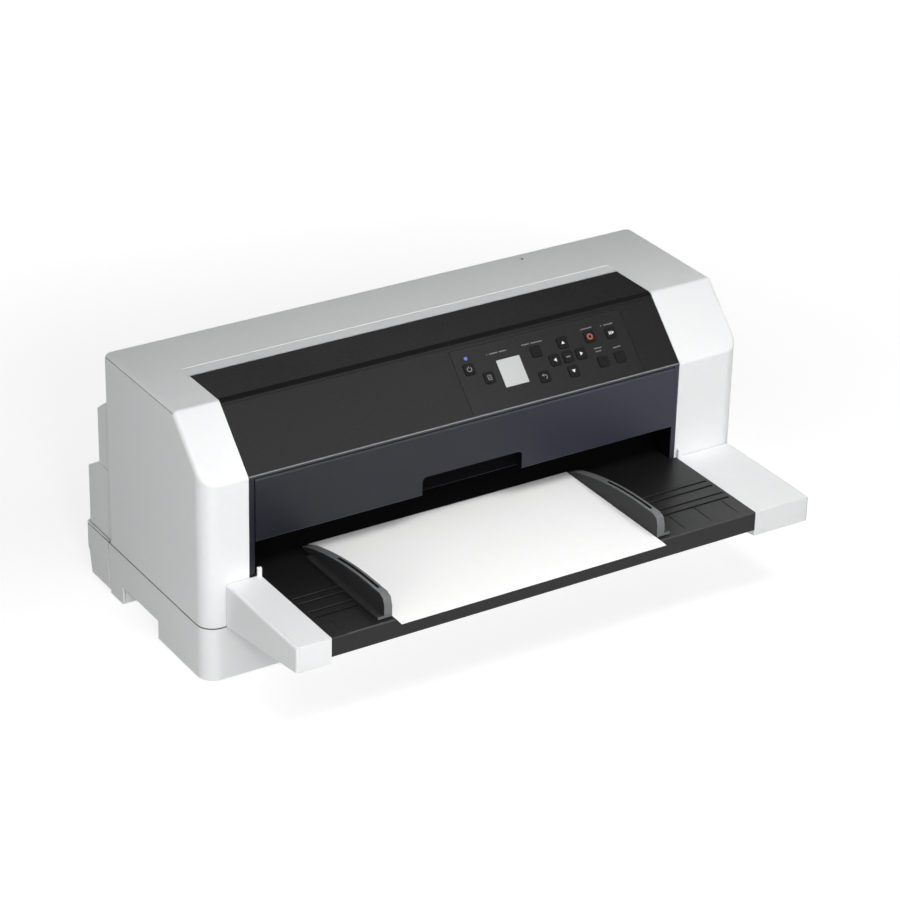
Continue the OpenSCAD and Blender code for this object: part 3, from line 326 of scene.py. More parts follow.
def make_finishes():
    """Every finish of the printer, by name."""
    moulding("case white", (0.835, 0.845, 0.85), 0.42, grain=0.35, depth=0.012, drift=0.3, rub=0.12, rubbed=1.04,
             dust=0.02, specular=0.3)
    # Seam shade: painted shade in the seams between the case parts and in the joint groove of the base.
    moulding("seam shade", (0.16, 0.162, 0.165), 0.6, grain=0.35, depth=0.012, drift=0.4, rub=0.0, dust=0.1,
             specular=0.1)
    # The black top, slope and control panel finishes darken towards the right through their fade: painted shade.
    moulding("charcoal matte", (0.031, 0.031, 0.032), 0.7, grain=0.3, depth=0.05, rub=0.35, rubbed=1.7, dust=0.02,
             specular=0.04, fade=(-0.06, 0.24, 0.62))
    # The flat top faces get a darker copy of the charcoal: painted shade.
    moulding("charcoal top painted shade", (0.026, 0.026, 0.027), 0.7, grain=0.3, depth=0.05, rub=0.35, rubbed=1.7, dust=0.02,
             specular=0.04, fade=(-0.06, 0.24, 0.5))
    moulding("panel black", (0.030, 0.030, 0.031), 0.62, grain=0.3, depth=0.04, rub=0.35, rubbed=1.8, dust=0.02,
             specular=0.06, fade=(-0.06, 0.24, 0.62))
    # A lighter grey for the control panel's long edges: painted highlight.
    moulding("panel edge painted highlight", (0.06, 0.06, 0.062), 0.6, grain=0.3, depth=0.02, rub=0.3, rubbed=1.4,
             specular=0.1, fade=(0.0, 0.24, 0.7))
    # The smoked cover grows lighter towards the right through its fade: painted reflection.
    moulding("smoked cover", (0.0088, 0.0092, 0.0150), 0.42, grain=0.8, depth=0.0, rub=0.35, rubbed=2.2, dust=0.02,
             specular=0.36, fade=(-0.08, 0.22, 2.5))
    # A lighter grey for the cover's lower front edge: painted highlight.
    moulding("cover edge painted highlight", (0.055, 0.055, 0.062), 0.5, grain=0.8, depth=0.0, rub=0.35, rubbed=1.5, dust=0.0,
             specular=0.2)
    # The trim's front face: a little lighter than the cover so that, with the shadow gap below it, it reads as the
    # cover's tone: painted light.
    moulding("trim foot painted light", (0.048, 0.048, 0.055), 0.5, grain=0.8, depth=0.0, rub=0.2, rubbed=1.5, dust=0.0,
             specular=0.2)
    # The two crease finishes are painted shade along the rounded crease of the black top.
    moulding("crease shade", (0.010, 0.010, 0.0105), 0.8, grain=0.3, depth=0.02, rub=0.0, dust=0.0, specular=0.03)
    moulding("crease half shade", (0.020, 0.020, 0.0205), 0.75, grain=0.3, depth=0.03, rub=0.0, dust=0.0,
             specular=0.04)
    # A nearly black painted shade for the mouth under the cover, the grip recess and the small hole in the top.
    moulding("painted shade black", (0.0013, 0.0013, 0.0017), 0.75, grain=0.5, depth=0.02, rub=0.1, rubbed=2.0, dust=0.0,
             specular=0.03)
    moulding("table black", (0.0047, 0.0047, 0.0052), 0.36, grain=0.4, depth=0.02, rub=0.5, rubbed=5.0, dust=0.02,
             specular=0.33)
    moulding("guide dark", (0.014, 0.014, 0.015), 0.5, grain=0.3, depth=0.03, rub=0.4, rubbed=2.5, specular=0.3)
    moulding("guide band grey", (0.13, 0.132, 0.135), 0.4, grain=0.3, depth=0.03, rub=0.3, rubbed=1.6)
    # A lighter grey for the table's front lip and the edges of its grooves: painted highlight.
    moulding("table lip painted highlight", (0.024, 0.024, 0.025), 0.4, grain=0.4, depth=0.01, rub=0.5, rubbed=2.0, specular=0.33)
    moulding("key cap", (0.009, 0.009, 0.0095), 0.6, grain=0.25, depth=0.03, rub=0.3, rubbed=2.0, specular=0.06)
    # A grey for painted shade: the cheeks' parting lines and the edges where the arms meet the case.
    moulding("contact shade", (0.40, 0.405, 0.41), 0.6, grain=0.35, depth=0.01, rub=0.0, dust=0.1, specular=0.1)
    moulding("key mark white", (0.74, 0.75, 0.76), 0.5, grain=0.3, depth=0.01, drift=0.2, rub=0.0)
    moulding("key mark grey", (0.17, 0.17, 0.175), 0.5, grain=0.3, depth=0.01, drift=0.3, rub=0.0)
    moulding("silver trim", (0.21, 0.212, 0.215), 0.45, grain=0.3, depth=0.01, rub=0.2, rubbed=1.3, specular=0.2)
    moulding("mechanism black", (0.03, 0.03, 0.032), 0.5, grain=0.5, depth=0.04, rub=0.2, rubbed=1.8)
    moulding("gear nylon", (0.70, 0.67, 0.57), 0.42, grain=0.5, depth=0.02, rub=0.1, rubbed=1.1)
    moulding("circuit board green", (0.022, 0.13, 0.055), 0.35, grain=0.8, depth=0.02, coat=0.3)
    moulding("circuit board brown", (0.27, 0.19, 0.085), 0.5, grain=0.8, depth=0.03)
    rubber("black rubber", (0.025, 0.025, 0.026))
    metal("plated steel", (0.60, 0.61, 0.62), 0.3, (60.0, 900.0, 900.0))
    metal("ground shaft", (0.66, 0.66, 0.67), 0.2, (900.0, 40.0, 40.0))
    metal("cast head", (0.42, 0.43, 0.44), 0.45, (500.0, 500.0, 500.0), metallic=0.9)
    metal("motor can", (0.16, 0.165, 0.17), 0.35, (300.0, 300.0, 300.0), metallic=0.7)
    metal("turned brass", (0.62, 0.47, 0.2), 0.28, (900.0, 60.0, 60.0))
    lit("blue lamp", (0.03, 0.06, 0.26), (0.10, 0.18, 0.7), 0.3)
    lit("orange lit ring", (0.30, 0.05, 0.012), (0.62, 0.10, 0.02), 0.1, 0.45)
    moulding("transformer tape", (0.62, 0.46, 0.10), 0.4, grain=0.8, depth=0.03)
    moulding("capacitor sleeve", (0.02, 0.028, 0.06), 0.35, grain=0.6, depth=0.02)
    moulding("ribbon cloth", (0.006, 0.006, 0.007), 0.9, grain=0.3, depth=0.1)
    paper_finish()
    display_finish()


# -------- pieces made from the frame's own shapes

MERGE, TINY, FLAT, SHARP_FROM = 1e-5, 1e-6, math.radians(0.5), math.radians(38)


def at(x, y, z):
    """A point given in millimetres."""
    return Vector((x, y, z)) * MM


def box_mm(node):
    """The node's two far corners, in millimetres."""
    return [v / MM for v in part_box(node)]


def on_slope(x, s, rise):
    """A point on the sloping front, s millimetres down from the crease and so far off its face."""
    return at(x, CREASE_Y - (s + rise) * DIAGONAL, TOP + (rise - s) * DIAGONAL)


def own_shape(node):
    """The node's shape with its loose triangles merged and its flat faces made whole."""
    shape = bmesh.new()
    shape.from_mesh(NODES[node].data)
    bmesh.ops.remove_doubles(shape, verts=shape.verts, dist=MERGE)
    bmesh.ops.dissolve_limit(shape, angle_limit=FLAT, verts=shape.verts, edges=shape.edges)
    shape.loops.layers.float.new("edge")
    return shape


def runs_on(edge, x=None, y=None, z=None):
    """True if both ends of the edge lie on the given planes, in millimetres."""
    for wanted, axis in ((x, 0), (y, 1), (z, 2)):
        if wanted is not None and any(abs(v.co[axis] / MM - wanted) > 0.15 for v in edge.verts):
            return False
    return True


def corner(edge, least):
    """True for an outward corner of at least that many degrees."""
    return len(edge.link_faces) == 2 and edge.is_convex and edge.calc_face_angle(0) > math.radians(least)


def corners(least, length=None, rule=None):
    """Chooses outward corners of at least that many degrees, longer than a length, that meet a rule."""
    return lambda edge: (corner(edge, least) and (length is None or edge.calc_length() > length * MM)
                         and (rule is None or rule(edge)))


def soften(shape, radius, chosen, steps, finish=None):
    """Rounds the chosen edges by that many millimetres, marks the new faces as edge and may paint them."""
    edge_mark = shape.loops.layers.float["edge"]
    edges = [edge for edge in shape.edges if len(edge.link_faces) == 2 and chosen(edge)]
    if not edges:
        return
    made = bmesh.ops.bevel(shape, geom=edges, offset=radius * MM, offset_type="OFFSET", segments=steps,
                           profile=0.5, affect="EDGES", clamp_overlap=False)
    for face in made["faces"]:
        if finish is not None:
            face.material_index = finish
        for loop in face.loops:
            loop[edge_mark] = 1.0


def paint(shape, rule):
    """Gives each face the finish that the rule names, by number."""
    for face in shape.faces:
        face.material_index = rule(face.calc_center_median() / MM, face.normal)


def place_new(name, data):
    """Puts a new object into the scene."""
    thing = bpy.data.objects.new(name, data)
    bpy.context.scene.collection.objects.link(thing)
    return thing


def frozen(thing):
    """The object's shape with its modifiers applied, as a mesh of its own; the object goes."""
    mesh = bpy.data.meshes.new_from_object(thing.evaluated_get(bpy.context.evaluated_depsgraph_get()))
    bpy.data.objects.remove(thing)
    return mesh


def modify(thing, name, kind, **settings):
    modifier = thing.modifiers.new(name, kind)
    for setting, value in settings.items():
        setattr(modifier, setting, value)
    return modifier


def make_piece(name, shape, finishes, stands_for):
    """Turns a shape into a finished piece that rides on its body and stands for its node."""
    bmesh.ops.dissolve_degenerate(shape, dist=TINY, edges=shape.edges)
    mesh = bpy.data.meshes.new(name)
    shape.to_mesh(mesh)
    shape.free()
    if "custom_normal" in mesh.attributes:
        mesh.attributes.remove(mesh.attributes["custom_normal"])
    for finish in finishes:
        mesh.materials.append(FINISH[finish])
    mesh.shade_smooth()
    mesh.set_sharp_from_angle(angle=SHARP_FROM)
    piece = place_new(name, mesh)
    modify(piece, "even_shading", "WEIGHTED_NORMAL", keep_sharp=True, weight=80)
    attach(piece, BODY_OF[stands_for])
    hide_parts(stands_for)


def dress(node, name, finishes, slot, *steps):
    """A piece from a node's own shape; each step is a rule to paint by, or what soften takes."""
    shape = own_shape(node)
    for step in steps:
        if callable(step):
            paint(shape, step)
        else:
            soften(shape, *step)
    make_piece(name, shape, finishes, node)


# -------- the white case

CASE_ROUNDING, FRONT_CORNER, BACK_CORNER = 6.0, 18.0, 8.0
ROLL_STEP = 5
BAND_BACK = STRIP_Y + 18.0
TOP_HOLE = (170.1, 138.3, 1.6)
SHELL, IN_SEAM_SHADE, IN_PARTING_SHADE, IN_HOLE_SHADE = 0, 1, 2, 3


def hull(points):
    """The closed convex form around some points."""
    form = bmesh.new()
    for point in points:
        form.verts.new(point)
    bmesh.ops.remove_doubles(form, verts=form.verts, dist=TINY)
    made = bmesh.ops.convex_hull(form, input=form.verts)
    loose = {v for v in made["geom_interior"] + made["geom_unused"] if isinstance(v, bmesh.types.BMVert)}
    bmesh.ops.delete(form, geom=list(loose), context="VERTS")
    bmesh.ops.recalc_face_normals(form, faces=form.faces)
    return form


def rounded_case_form():
    """The outer form of the upper case with rounded edges: a ball rolled along the edges of a smaller form."""
    inner = []
    for side in (-1, 1):
        for degrees in range(0, 91, ROLL_STEP):
            a = math.radians(degrees)
            reach = FRONT_CORNER - CASE_ROUNDING
            x = side * (HALF_WIDTH - FRONT_CORNER + reach * math.sin(a))
            y = CASE_FRONT + FRONT_CORNER - reach * math.cos(a)
            inner.append(Vector((x, y, y + TOP - CREASE_Y - CASE_ROUNDING / DIAGONAL)))
            reach = BACK_CORNER - CASE_ROUNDING
            x = side * (HALF_WIDTH - BACK_CORNER + reach * math.sin(a))
            inner.append(Vector((x, CASE_BACK - BACK_CORNER + reach * math.cos(a), TOP - CASE_ROUNDING)))
        inner.append(Vector((side * (HALF_WIDTH - CASE_ROUNDING),
                             CREASE_Y + CASE_ROUNDING * (1 / DIAGONAL - 1), TOP - CASE_ROUNDING)))
    points = []
    for turn in range(0, 181, ROLL_STEP):
        for lean in range(-90, 91, ROLL_STEP):
            t, u = math.radians(turn), math.radians(lean)
            way = Vector((math.sin(u), math.cos(u) * math.cos(t), math.cos(u) * math.sin(t)))
            farthest = max(spot.dot(way) for spot in inner)
            for spot in inner:
                if spot.dot(way) > farthest - TINY:
                    point = spot + way * (CASE_ROUNDING + 0.03)
                    points.append(point * MM)
                    if turn in (0, 180):
                        points.append(at(point.x, point.y, -20.0))
    return hull(points)


def cut_to(shape, form, keep="INTERSECT"):
    """The part of a shape that lies inside a form, or with keep DIFFERENCE the part outside it."""
    things = []
    for part in (shape, form):
        mesh = bpy.data.meshes.new("cutting")
        part.to_mesh(mesh)
        part.free()
        things.append(place_new("cutting", mesh))
    modify(things[0], "cut", "BOOLEAN", operation=keep, solver="EXACT", object=things[1])
    mesh = frozen(things[0])
    bpy.data.objects.remove(things[1])
    result = bmesh.new()
    result.from_mesh(mesh)
    bpy.data.meshes.remove(mesh)
    if "edge" not in result.loops.layers.float:
        result.loops.layers.float.new("edge")
    return result


def bar(x0, x1, outline):
    """A straight bar between two planes across the printer, over a convex outline of y and z."""
    return hull([at(x, y, z) for x in (x0, x1) for y, z in outline])


def plug(x, y, radius, low, high, sides=16):
    """An upright round plug."""
    turns = [math.tau * i / sides for i in range(sides)]
    return hull([at(x + radius * math.cos(a), y + radius * math.sin(a), z) for z in (low, high) for a in turns])


def parting_shade_tone(centre, normal):
    """Painted shade: a grey strip standing for the fine parting line where each cheek's side turns into its top, and
    a nearly black floor in the small hole in the top.
    """
    if math.hypot(centre.x - TOP_HOLE[0], centre.y - TOP_HOLE[1]) < TOP_HOLE[2] + 0.05 and centre.z > TOP - 1.9:
        return IN_HOLE_SHADE
    if centre.z < TOP - 8.0 or abs(centre.x) < HALF_WIDTH - 8.0 or not CREASE_Y + 1 < centre.y < CASE_BACK - 4:
        return SHELL
    lean = math.degrees(math.atan2(abs(normal.x), normal.z))
    return IN_PARTING_SHADE if 61.0 < lean < 71.0 and abs(normal.y) < 0.1 else SHELL


def joint_shade_tone(centre, normal):
    """Painted shade in the fine upright groove where the base meets its rear part."""
    on_line = abs(centre.y - CASE_BACK) < 0.4 and HALF_WIDTH - 0.6 < abs(centre.x) < HALF_WIDTH - 0.1
    return IN_SEAM_SHADE if on_line and centre.z > 7.9 else SHELL


def rear_cover_corner(edge):
    """The rear cover's outer corners: upright, along the top at the back, and along the top at the sides."""
    return (any(runs_on(edge, x=x, y=REAR_COVER_BACK) or runs_on(edge, x=x, z=SLOPE_FOOT)
                for x in (-REAR_COVER_HALF, REAR_COVER_HALF))
            or runs_on(edge, y=REAR_COVER_BACK, z=SLOPE_FOOT))


def seam_edge(edge):
    """An outer edge along the seam between the upper and the lower case."""
    if not runs_on(edge, z=SEAM) or not corner(edge, 40):
        return False
    middle = (edge.verts[0].co + edge.verts[1].co) / 2 / MM
    if middle.y > REAR - 8.5 or abs(middle.x) < 300.0 and -38.0 < middle.y < 145.0:
        return False
    outward = Vector((middle.x, middle.y - 48.0, 0.0))
    return any(abs(f.normal.z) < 0.3 and f.normal.dot(outward) > 0 for f in edge.link_faces)


def case_pieces():
    # The seam's rounded outer edges are painted with seam shade: painted shade in the joint between the upper and
    # the lower case.
    seam = (0.8, seam_edge, 3, IN_SEAM_SHADE)
    every_corner = corners(40, 1.2)

    front = STRIP_Y - 0.5
    band = [(front, TOP + 1), (BAND_BACK, TOP + 1), (BAND_BACK, TOP - 0.5), (front, TOP - 1.3)]
    shape = cut_to(own_shape("upper_case"), rounded_case_form())
    shape = cut_to(shape, bar(ZONE_LEFT + 0.05, ZONE_RIGHT - 0.05, band), "DIFFERENCE")
    shape = cut_to(shape, plug(*TOP_HOLE, TOP - 1.5, TOP + 1), "DIFFERENCE")
    paint(shape, parting_shade_tone)
    soften(shape, *seam)
    soften(shape, 0.5, every_corner, 2)
    make_piece("upper_case_shell", shape, ["case white", "seam shade", "contact shade", "painted shade black"],
               "upper_case")

    shape = own_shape("base_case")
    line = [(CASE_BACK + side * 0.35, z) for side in (-1, 1) for z in (8.0, SEAM + 1)]
    for side in (-1, 1):
        shape = cut_to(shape, bar(side * (HALF_WIDTH - 0.5), side * (HALF_WIDTH + 1), line), "DIFFERENCE")
    paint(shape, joint_shade_tone)
    soften(shape, *seam)
    soften(shape, 0.5, every_corner, 2)
    make_piece("base_case_shell", shape, ["case white", "seam shade"], "base_case")

    dress("rear_housing", "rear_housing_shell", ["case white"], "case_white", (0.6, every_corner, 2))
    dress("rear_cover", "rear_cover_lid", ["case white"], "case_white",
          (5.0, corners(60, rule=rear_cover_corner), 4), (0.6, every_corner, 2))

    for node, end in (("table_arm_left", 0), ("table_arm_right", 1)):
        outside = box_mm(node)[end].x
        rim = corners(28, None, lambda e: runs_on(e, x=outside) and (
            runs_on(e, z=TABLE_TOP) or runs_on(e, y=TABLE_FRONT)))
        # The arms' edges against the case are painted grey: painted shade between the parts.
        dress(node, node + "_cover", ["case white", "contact shade"], "case_white", (3.5, rim, 5),
              (0.9, corners(50, rule=lambda e: runs_on(e, y=CASE_FRONT)), 2, 1), (0.7, corners(50, 1.2), 2))


# -------- the black front

PLATE, CREASE_HALF, CREASE_DEEP, FLAT_TOP_SHADE = 0, 1, 2, 3
GLOSS, IN_MOUTH_SHADE, LOWER_EDGE_HIGHLIGHT = 0, 1, 2


def crease_shade_tone(centre, normal):
    """Painted shade: the rounded crease between the top and the slope gets two steps of darker charcoal, and the
    flat top a darker copy of the charcoal.
    """
    if normal.z > 0.999 and centre.z > TOP - 0.2:
        return FLAT_TOP_SHADE
    if centre.z < TOP - 4.0 or normal.z < 0.7 or abs(normal.x) > 0.1:
        return PLATE
    lean = math.degrees(math.atan2(-normal.y, normal.z))
    return CREASE_DEEP if 10.0 < lean < 36.0 else CREASE_HALF if 2.0 < lean < 43.0 else PLATE


def recess_shade_tone(centre, normal):
    """The grip recess in the cover's lower edge is painted nearly black inside: painted shade."""
    within = RECESS_LEFT - 0.5 < centre.x < RECESS_RIGHT + 0.5 and centre.z < RECESS_TOP + 0.5
    return IN_MOUTH_SHADE if within and centre.y > CASE_FRONT + 0.6 else GLOSS


def recess_corner(edge):
    """The two upper corners of the grip recess, seen from the front."""
    return any(runs_on(edge, x=x, z=RECESS_TOP) for x in (RECESS_LEFT, RECESS_RIGHT))


def panel_rim(edge):
    """The panel's long edges across the slope, at its face."""
    first, second = (v.co.z for v in edge.verts)
    return first > 0.25 and abs(first - second) < 0.001


def front_pieces():
    dress("top_panel", "top_panel_cover", ["charcoal matte", "crease half shade", "crease shade", "charcoal top painted shade"],
          "panel_black", (4.0, lambda e: runs_on(e, y=CREASE_Y, z=TOP), 8), (0.35, corners(60, 3), 2), crease_shade_tone)
    # The trim is silver where it faces up; its front face is painted lighter than the cover to even out the shadow
    # gap below it: painted light.
    dress("trim_strip", "trim_line", ["silver trim", "trim foot painted light"], "trim_silver", (0.2, corners(40), 2),
          lambda centre, normal: 0 if normal.z > 0.5 and normal.y < -0.5 else 1)
    # The control panel's long edges are painted lighter: painted highlight.
    dress("control_panel", "control_panel_plate", ["panel black", "panel edge painted highlight"], "panel_black",
          (0.45, corners(60, 150, panel_rim), 2, 1), (0.3, corners(60, 2), 2))
    # The cover's lower front edge is painted lighter: painted highlight.
    dress("front_cover", "front_cover_door", ["smoked cover", "painted shade black", "cover edge painted highlight"], "cover_gloss",
          (5.0, recess_corner, 5), recess_shade_tone,
          (0.8, corners(60, rule=lambda e: runs_on(e, y=CASE_FRONT, z=COVER_BOTTOM)), 2, LOWER_EDGE_HIGHLIGHT),
          (0.45, corners(60, 3), 3))
    # The legs' inner faces and the black chute under the cover are painted nearly black: painted shade.
    dress("opening_frame", "opening_frame_legs", ["smoked cover", "painted shade black"], "frame_black",
          (0.5, corners(60), 2), lambda centre, normal: GLOSS if (
              normal.y < -0.5 and centre.y < CASE_FRONT + 3 and centre.z > COVER_BOTTOM) else IN_MOUTH_SHADE)
    dress("inner_paper_guide", "inner_paper_chute", ["painted shade black"], "frame_black", (0.6, corners(60), 2))


# -------- the paper table

SHEET_THICK, SHEET_SAG, SHEET_ROWS, SHEET_COLUMNS = 0.3, 0.45, 60, 16


def guide_tone(centre, normal, slot_floor):
    """An edge guide's top band and rounded front end are lighter; its slot and its sides are dark."""
    if 118 < centre.z < slot_floor + 1 and normal.z > 0.5 and -174 < centre.y < -95:
        return 0
    band = normal.z > 0.3 and centre.z > 113.5
    nose = normal.y < -0.35 and centre.y < -170 and abs(centre.y + 173) > 0.5 and centre.z > 110
    return 1 if band or nose else 0


def sheet_shape():
    """The loaded sheet: thin, flat on the table, and sagging a little beyond its edge."""
    low, high = box_mm("paper_sheet")
    shape = bmesh.new()
    shape.loops.layers.float.new("edge")

    def spot(side, i, j):
        x, y = low.x + (high.x - low.x) * j / SHEET_COLUMNS, low.y + (high.y - low.y) * i / SHEET_ROWS
        over = max(0.0, (TABLE_FRONT - y) / (TABLE_FRONT - low.y))
        return shape.verts.new(at(x, y, low.z + 0.05 + SHEET_THICK * side - SHEET_SAG * over * over))

    def strip(first, second):
        for four in zip(first, first[1:], second[1:], second):
            shape.faces.new(four)

    under, upper = ([[spot(side, i, j) for j in range(SHEET_COLUMNS + 1)] for i in range(SHEET_ROWS + 1)]
                    for side in (0, 1))
    for i in range(SHEET_ROWS):
        strip(upper[i], upper[i + 1])
        strip(under[i + 1], under[i])
    strip(under[0], upper[0])
    strip(upper[-1], under[-1])
    strip([row[0] for row in upper], [row[0] for row in under])
    strip([row[-1] for row in under], [row[-1] for row in upper])
    return shape


def table_pieces():
    # The table's front lip and the edges of its grooves are painted lighter: painted highlight.
    dress("front_table", "front_table_tray", ["table black", "table lip painted highlight"], "table_black",
          (1.3, lambda e: runs_on(e, y=TABLE_FRONT, z=TABLE_TOP), 3, 1),
          (0.4, corners(60, 20, lambda e: runs_on(e, z=TABLE_TOP)), 2, 1))

    for node, near in (("edge_guide_left", -1), ("edge_guide_right", 1)):
        low, high = box_mm(node)
        inner = high.x if near < 0 else low.x

        def along_top(edge):
            """The long edges of the guide's upright wall."""
            first, second = (v.co for v in edge.verts)
            return (min(first.z, second.z) > 110 * MM and abs(first.y - second.y) > 1e-4
                    and (runs_on(edge, x=inner) or runs_on(edge, x=inner + near * 9.0)))

        dress(node, node + "_fin", ["guide dark", "guide band grey"], "guide_grey",
              (1.0, corners(60, rule=along_top), 3), (0.3, corners(60, 3), 2),
              lambda centre, normal: guide_tone(centre, normal, high.z - 12.0))

    make_piece("plain_sheet", sheet_shape(), ["plain paper"], "paper_sheet")


# -------- the control panel

# Where each key's middle lies on the slope: across, and down from the crease.
KEY_PLACES = {
    "power": (3.0, 32.5), "sheet": (21.5, 46.0), "source": (84.0, 31.5), "back": (82.5, 59.5), "up": (117.3, 29.4),
    "left": (101.3, 45.4), "ok": (117.3, 45.4), "right": (133.3, 45.4), "down": (117.3, 61.4),
    "cancel": (150.5, 30.5), "pause": (176.0, 32.0), "tear": (155.0, 59.5), "load": (176.0, 59.5)}
CAP_TOP = 0.8
MARK_LOW, MARK_HIGH = CAP_TOP - 0.1, CAP_TOP + 0.12
WHITE_MARK, GREY_MARK, LIT_RING = 1, 2, 3


def add_plate(shape, outline, number):
    """A thin raised mark on a key, from a list of (x, s) corners."""
    bottom = [shape.verts.new(on_slope(x, s, MARK_LOW)) for x, s in outline]
    top = [shape.verts.new(on_slope(x, s, MARK_HIGH)) for x, s in outline]
    faces = [shape.faces.new(top), shape.faces.new(bottom[::-1])]
    for i in range(len(outline)):
        faces.append(shape.faces.new([bottom[i - 1], bottom[i], top[i], top[i - 1]]))
    finish_mark(shape, faces, number)


def add_arc(shape, x, s, radius, width, start, end, number, steps=28):
    """A raised ring, or a part of one, on a key; angles in degrees."""
    whole = end - start >= 360
    angles = [math.radians(start + (end - start) * i / steps) for i in range(steps + (0 if whole else 1))]
    inner_low, outer_low, inner_high, outer_high = (
        [shape.verts.new(on_slope(x + r * math.cos(a), s - r * math.sin(a), rise)) for a in angles]
        for rise in (MARK_LOW, MARK_HIGH) for r in (radius - width / 2, radius + width / 2))
    faces = []
    for i in range(0 if whole else 1, len(angles)):
        for first, second in ((inner_high, outer_high), (outer_high, outer_low), (outer_low, inner_low),
                              (inner_low, inner_high)):
            faces.append(shape.faces.new([first[i - 1], first[i], second[i], second[i - 1]]))
    if not whole:
        for i in (0, -1):
            faces.append(shape.faces.new([inner_low[i], outer_low[i], outer_high[i], inner_high[i]]))
    finish_mark(shape, faces, number)


def finish_mark(shape, faces, number):
    for face in faces:
        face.material_index = number
    bmesh.ops.recalc_face_normals(shape, faces=faces)


def add_box(shape, x, s, wide, deep, number):
    sides = (-1, -1), (-1, 1), (1, 1), (1, -1)
    add_plate(shape, [(x + u * wide / 2, s + v * deep / 2) for u, v in sides], number)


def add_arrow(shape, x, s, size, turn, number):
    """A small arrow head that points up the slope, turned clockwise by so many degrees."""
    c, d = math.cos(math.radians(turn)), math.sin(math.radians(turn))
    points = [(0.0, -size * 0.55), (-size * 0.6, size * 0.45), (size * 0.6, size * 0.45)]
    add_plate(shape, [(x + u * c - v * d, s + u * d + v * c) for u, v in points], number)


# The marks on the keys: how each is made, its place from the key's middle, its measures and its finish.
KEY_MARKS = {
    **{key: [(add_arrow, 0, 0, 3.4, 90 * turn, WHITE_MARK)]
       for turn, key in enumerate(("up", "right", "down", "left"))},
    "power": [(add_arc, 0, 0, 2.5, 0.9, 125, 415, GREY_MARK), (add_box, 0, -2.0, 0.8, 2.4, GREY_MARK)],
    "sheet": [(add_box, u, v, wide, deep, GREY_MARK) for u, v, wide, deep in (
        (0, -2.4, 4.4, 0.7), (0, 2.4, 4.4, 0.7), (-1.9, 0, 0.7, 4.2), (1.9, 0, 0.7, 4.2), (0, -0.6, 2.2, 0.5),
        (0, 0.7, 2.2, 0.5))],
    "back": [(add_arc, 0.3, 0.3, 2.1, 0.9, -80, 120, GREY_MARK), (add_arrow, -1.9, -1.7, 2.6, 270, GREY_MARK)],
    "ok": [(add_box, 0, 0, 4.6, 1.3, GREY_MARK)],
    "pause": [(add_box, -2.0, 0, 1.0, 3.4, WHITE_MARK), (add_box, -0.2, 0, 1.0, 3.4, WHITE_MARK),
              (add_arrow, 2.4, 0, 2.8, 90, WHITE_MARK)],
    "cancel": [(add_arc, 0, 0, 2.6, 1.8, 0, 360, LIT_RING, 36)]}


def panel_pieces():
    for key, (x, s) in KEY_PLACES.items():
        node = key + "_button"
        shape = own_shape(node)
        soften(shape, 0.35, corners(60, 0.5), 3)
        for add, across, down, *measures in KEY_MARKS.get(key, ()):
            add(shape, x + across, s + down, *measures)
        make_piece(node + "_cap", shape, ["key cap", "key mark white", "key mark grey", "orange lit ring"], node)
    dress("lcd_window", "lcd_face", ["pale display"], "display", (0.4, corners(60), 2))
    dress("status_led", "status_lens", ["blue lamp"], "light_blue", (0.5, corners(60), 3))


# -------- geometry node trees for what repeats

def run_tree(tree, name, start, finish, body, values):
    """Runs a geometry tree on a start mesh, keeps the result as a plain mesh and gives it to its body."""
    holder = place_new(name + "_start", start)
    modifier = modify(holder, "made", "NODES", node_group=tree)
    given = dict(values, Finish=FINISH[finish])
    for item in tree.interface.items_tree:
        if item.item_type == "SOCKET" and item.in_out == "INPUT" and item.name in given:
            modifier[item.identifier] = given[item.name]
    mesh = frozen(holder)
    mesh.name = name
    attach(place_new(name, mesh), body)


def end_tree(tree, given, out, geometry):
    """Gives the finished geometry its material and hands it on."""
    done = put(tree, "GeometryNodeSetMaterial", {"Geometry": geometry, "Material": given["Finish"]})
    feed(tree, out, {"Geometry": done.outputs["Geometry"]})
    return tree


def realized(tree, geometry):
    return put(tree, "GeometryNodeRealizeInstances", {"Geometry": geometry}).outputs["Geometry"]


def dash_tree():
    """Turns straight lines into thin raised dashes of a given width."""
    tree, given, out = new_group("label_dash", {"Geometry": None, "Width": 0.001, "Rise": 0.0002, "Finish": None},
                                 ["Geometry"], "GeometryNodeTree")
    curve = put(tree, "GeometryNodeMeshToCurve", {"Mesh": given["Geometry"]})
    section = put(tree, "GeometryNodeCurvePrimitiveQuadrilateral",
                  {"Width": given["Width"], "Height": given["Rise"]})
    solid = put(tree, "GeometryNodeCurveToMesh",
                {"Curve": curve.outputs["Curve"], "Profile Curve": section.outputs["Curve"], "Fill Caps": True})
    return end_tree(tree, given, out, realized(tree, solid.outputs["Mesh"]))


def pin_tree():
    """Stands a blunt pin on every point of the start mesh."""
    tree, given, out = new_group(
        "feed_pins", {"Geometry": None, "Foot Radius": 0.0016, "Tip Radius": 0.001, "Height": 0.002, "Finish": None},
        ["Geometry"], "GeometryNodeTree")
    pin = put(tree, "GeometryNodeMeshCone", {"Vertices": 20, "Radius Bottom": given["Foot Radius"],
                                                 "Radius Top": given["Tip Radius"], "Depth": given["Height"]})
    standing = put(tree, "GeometryNodeInstanceOnPoints",
                   {"Points": given["Geometry"], "Instance": pin.outputs["Mesh"]})
    flat = put(tree, "GeometryNodeSetShadeSmooth",
               {"Geometry": realized(tree, standing.outputs["Instances"]), "Shade Smooth": False})
    return end_tree(tree, given, out, flat.outputs["Geometry"])


DASH = dash_tree()
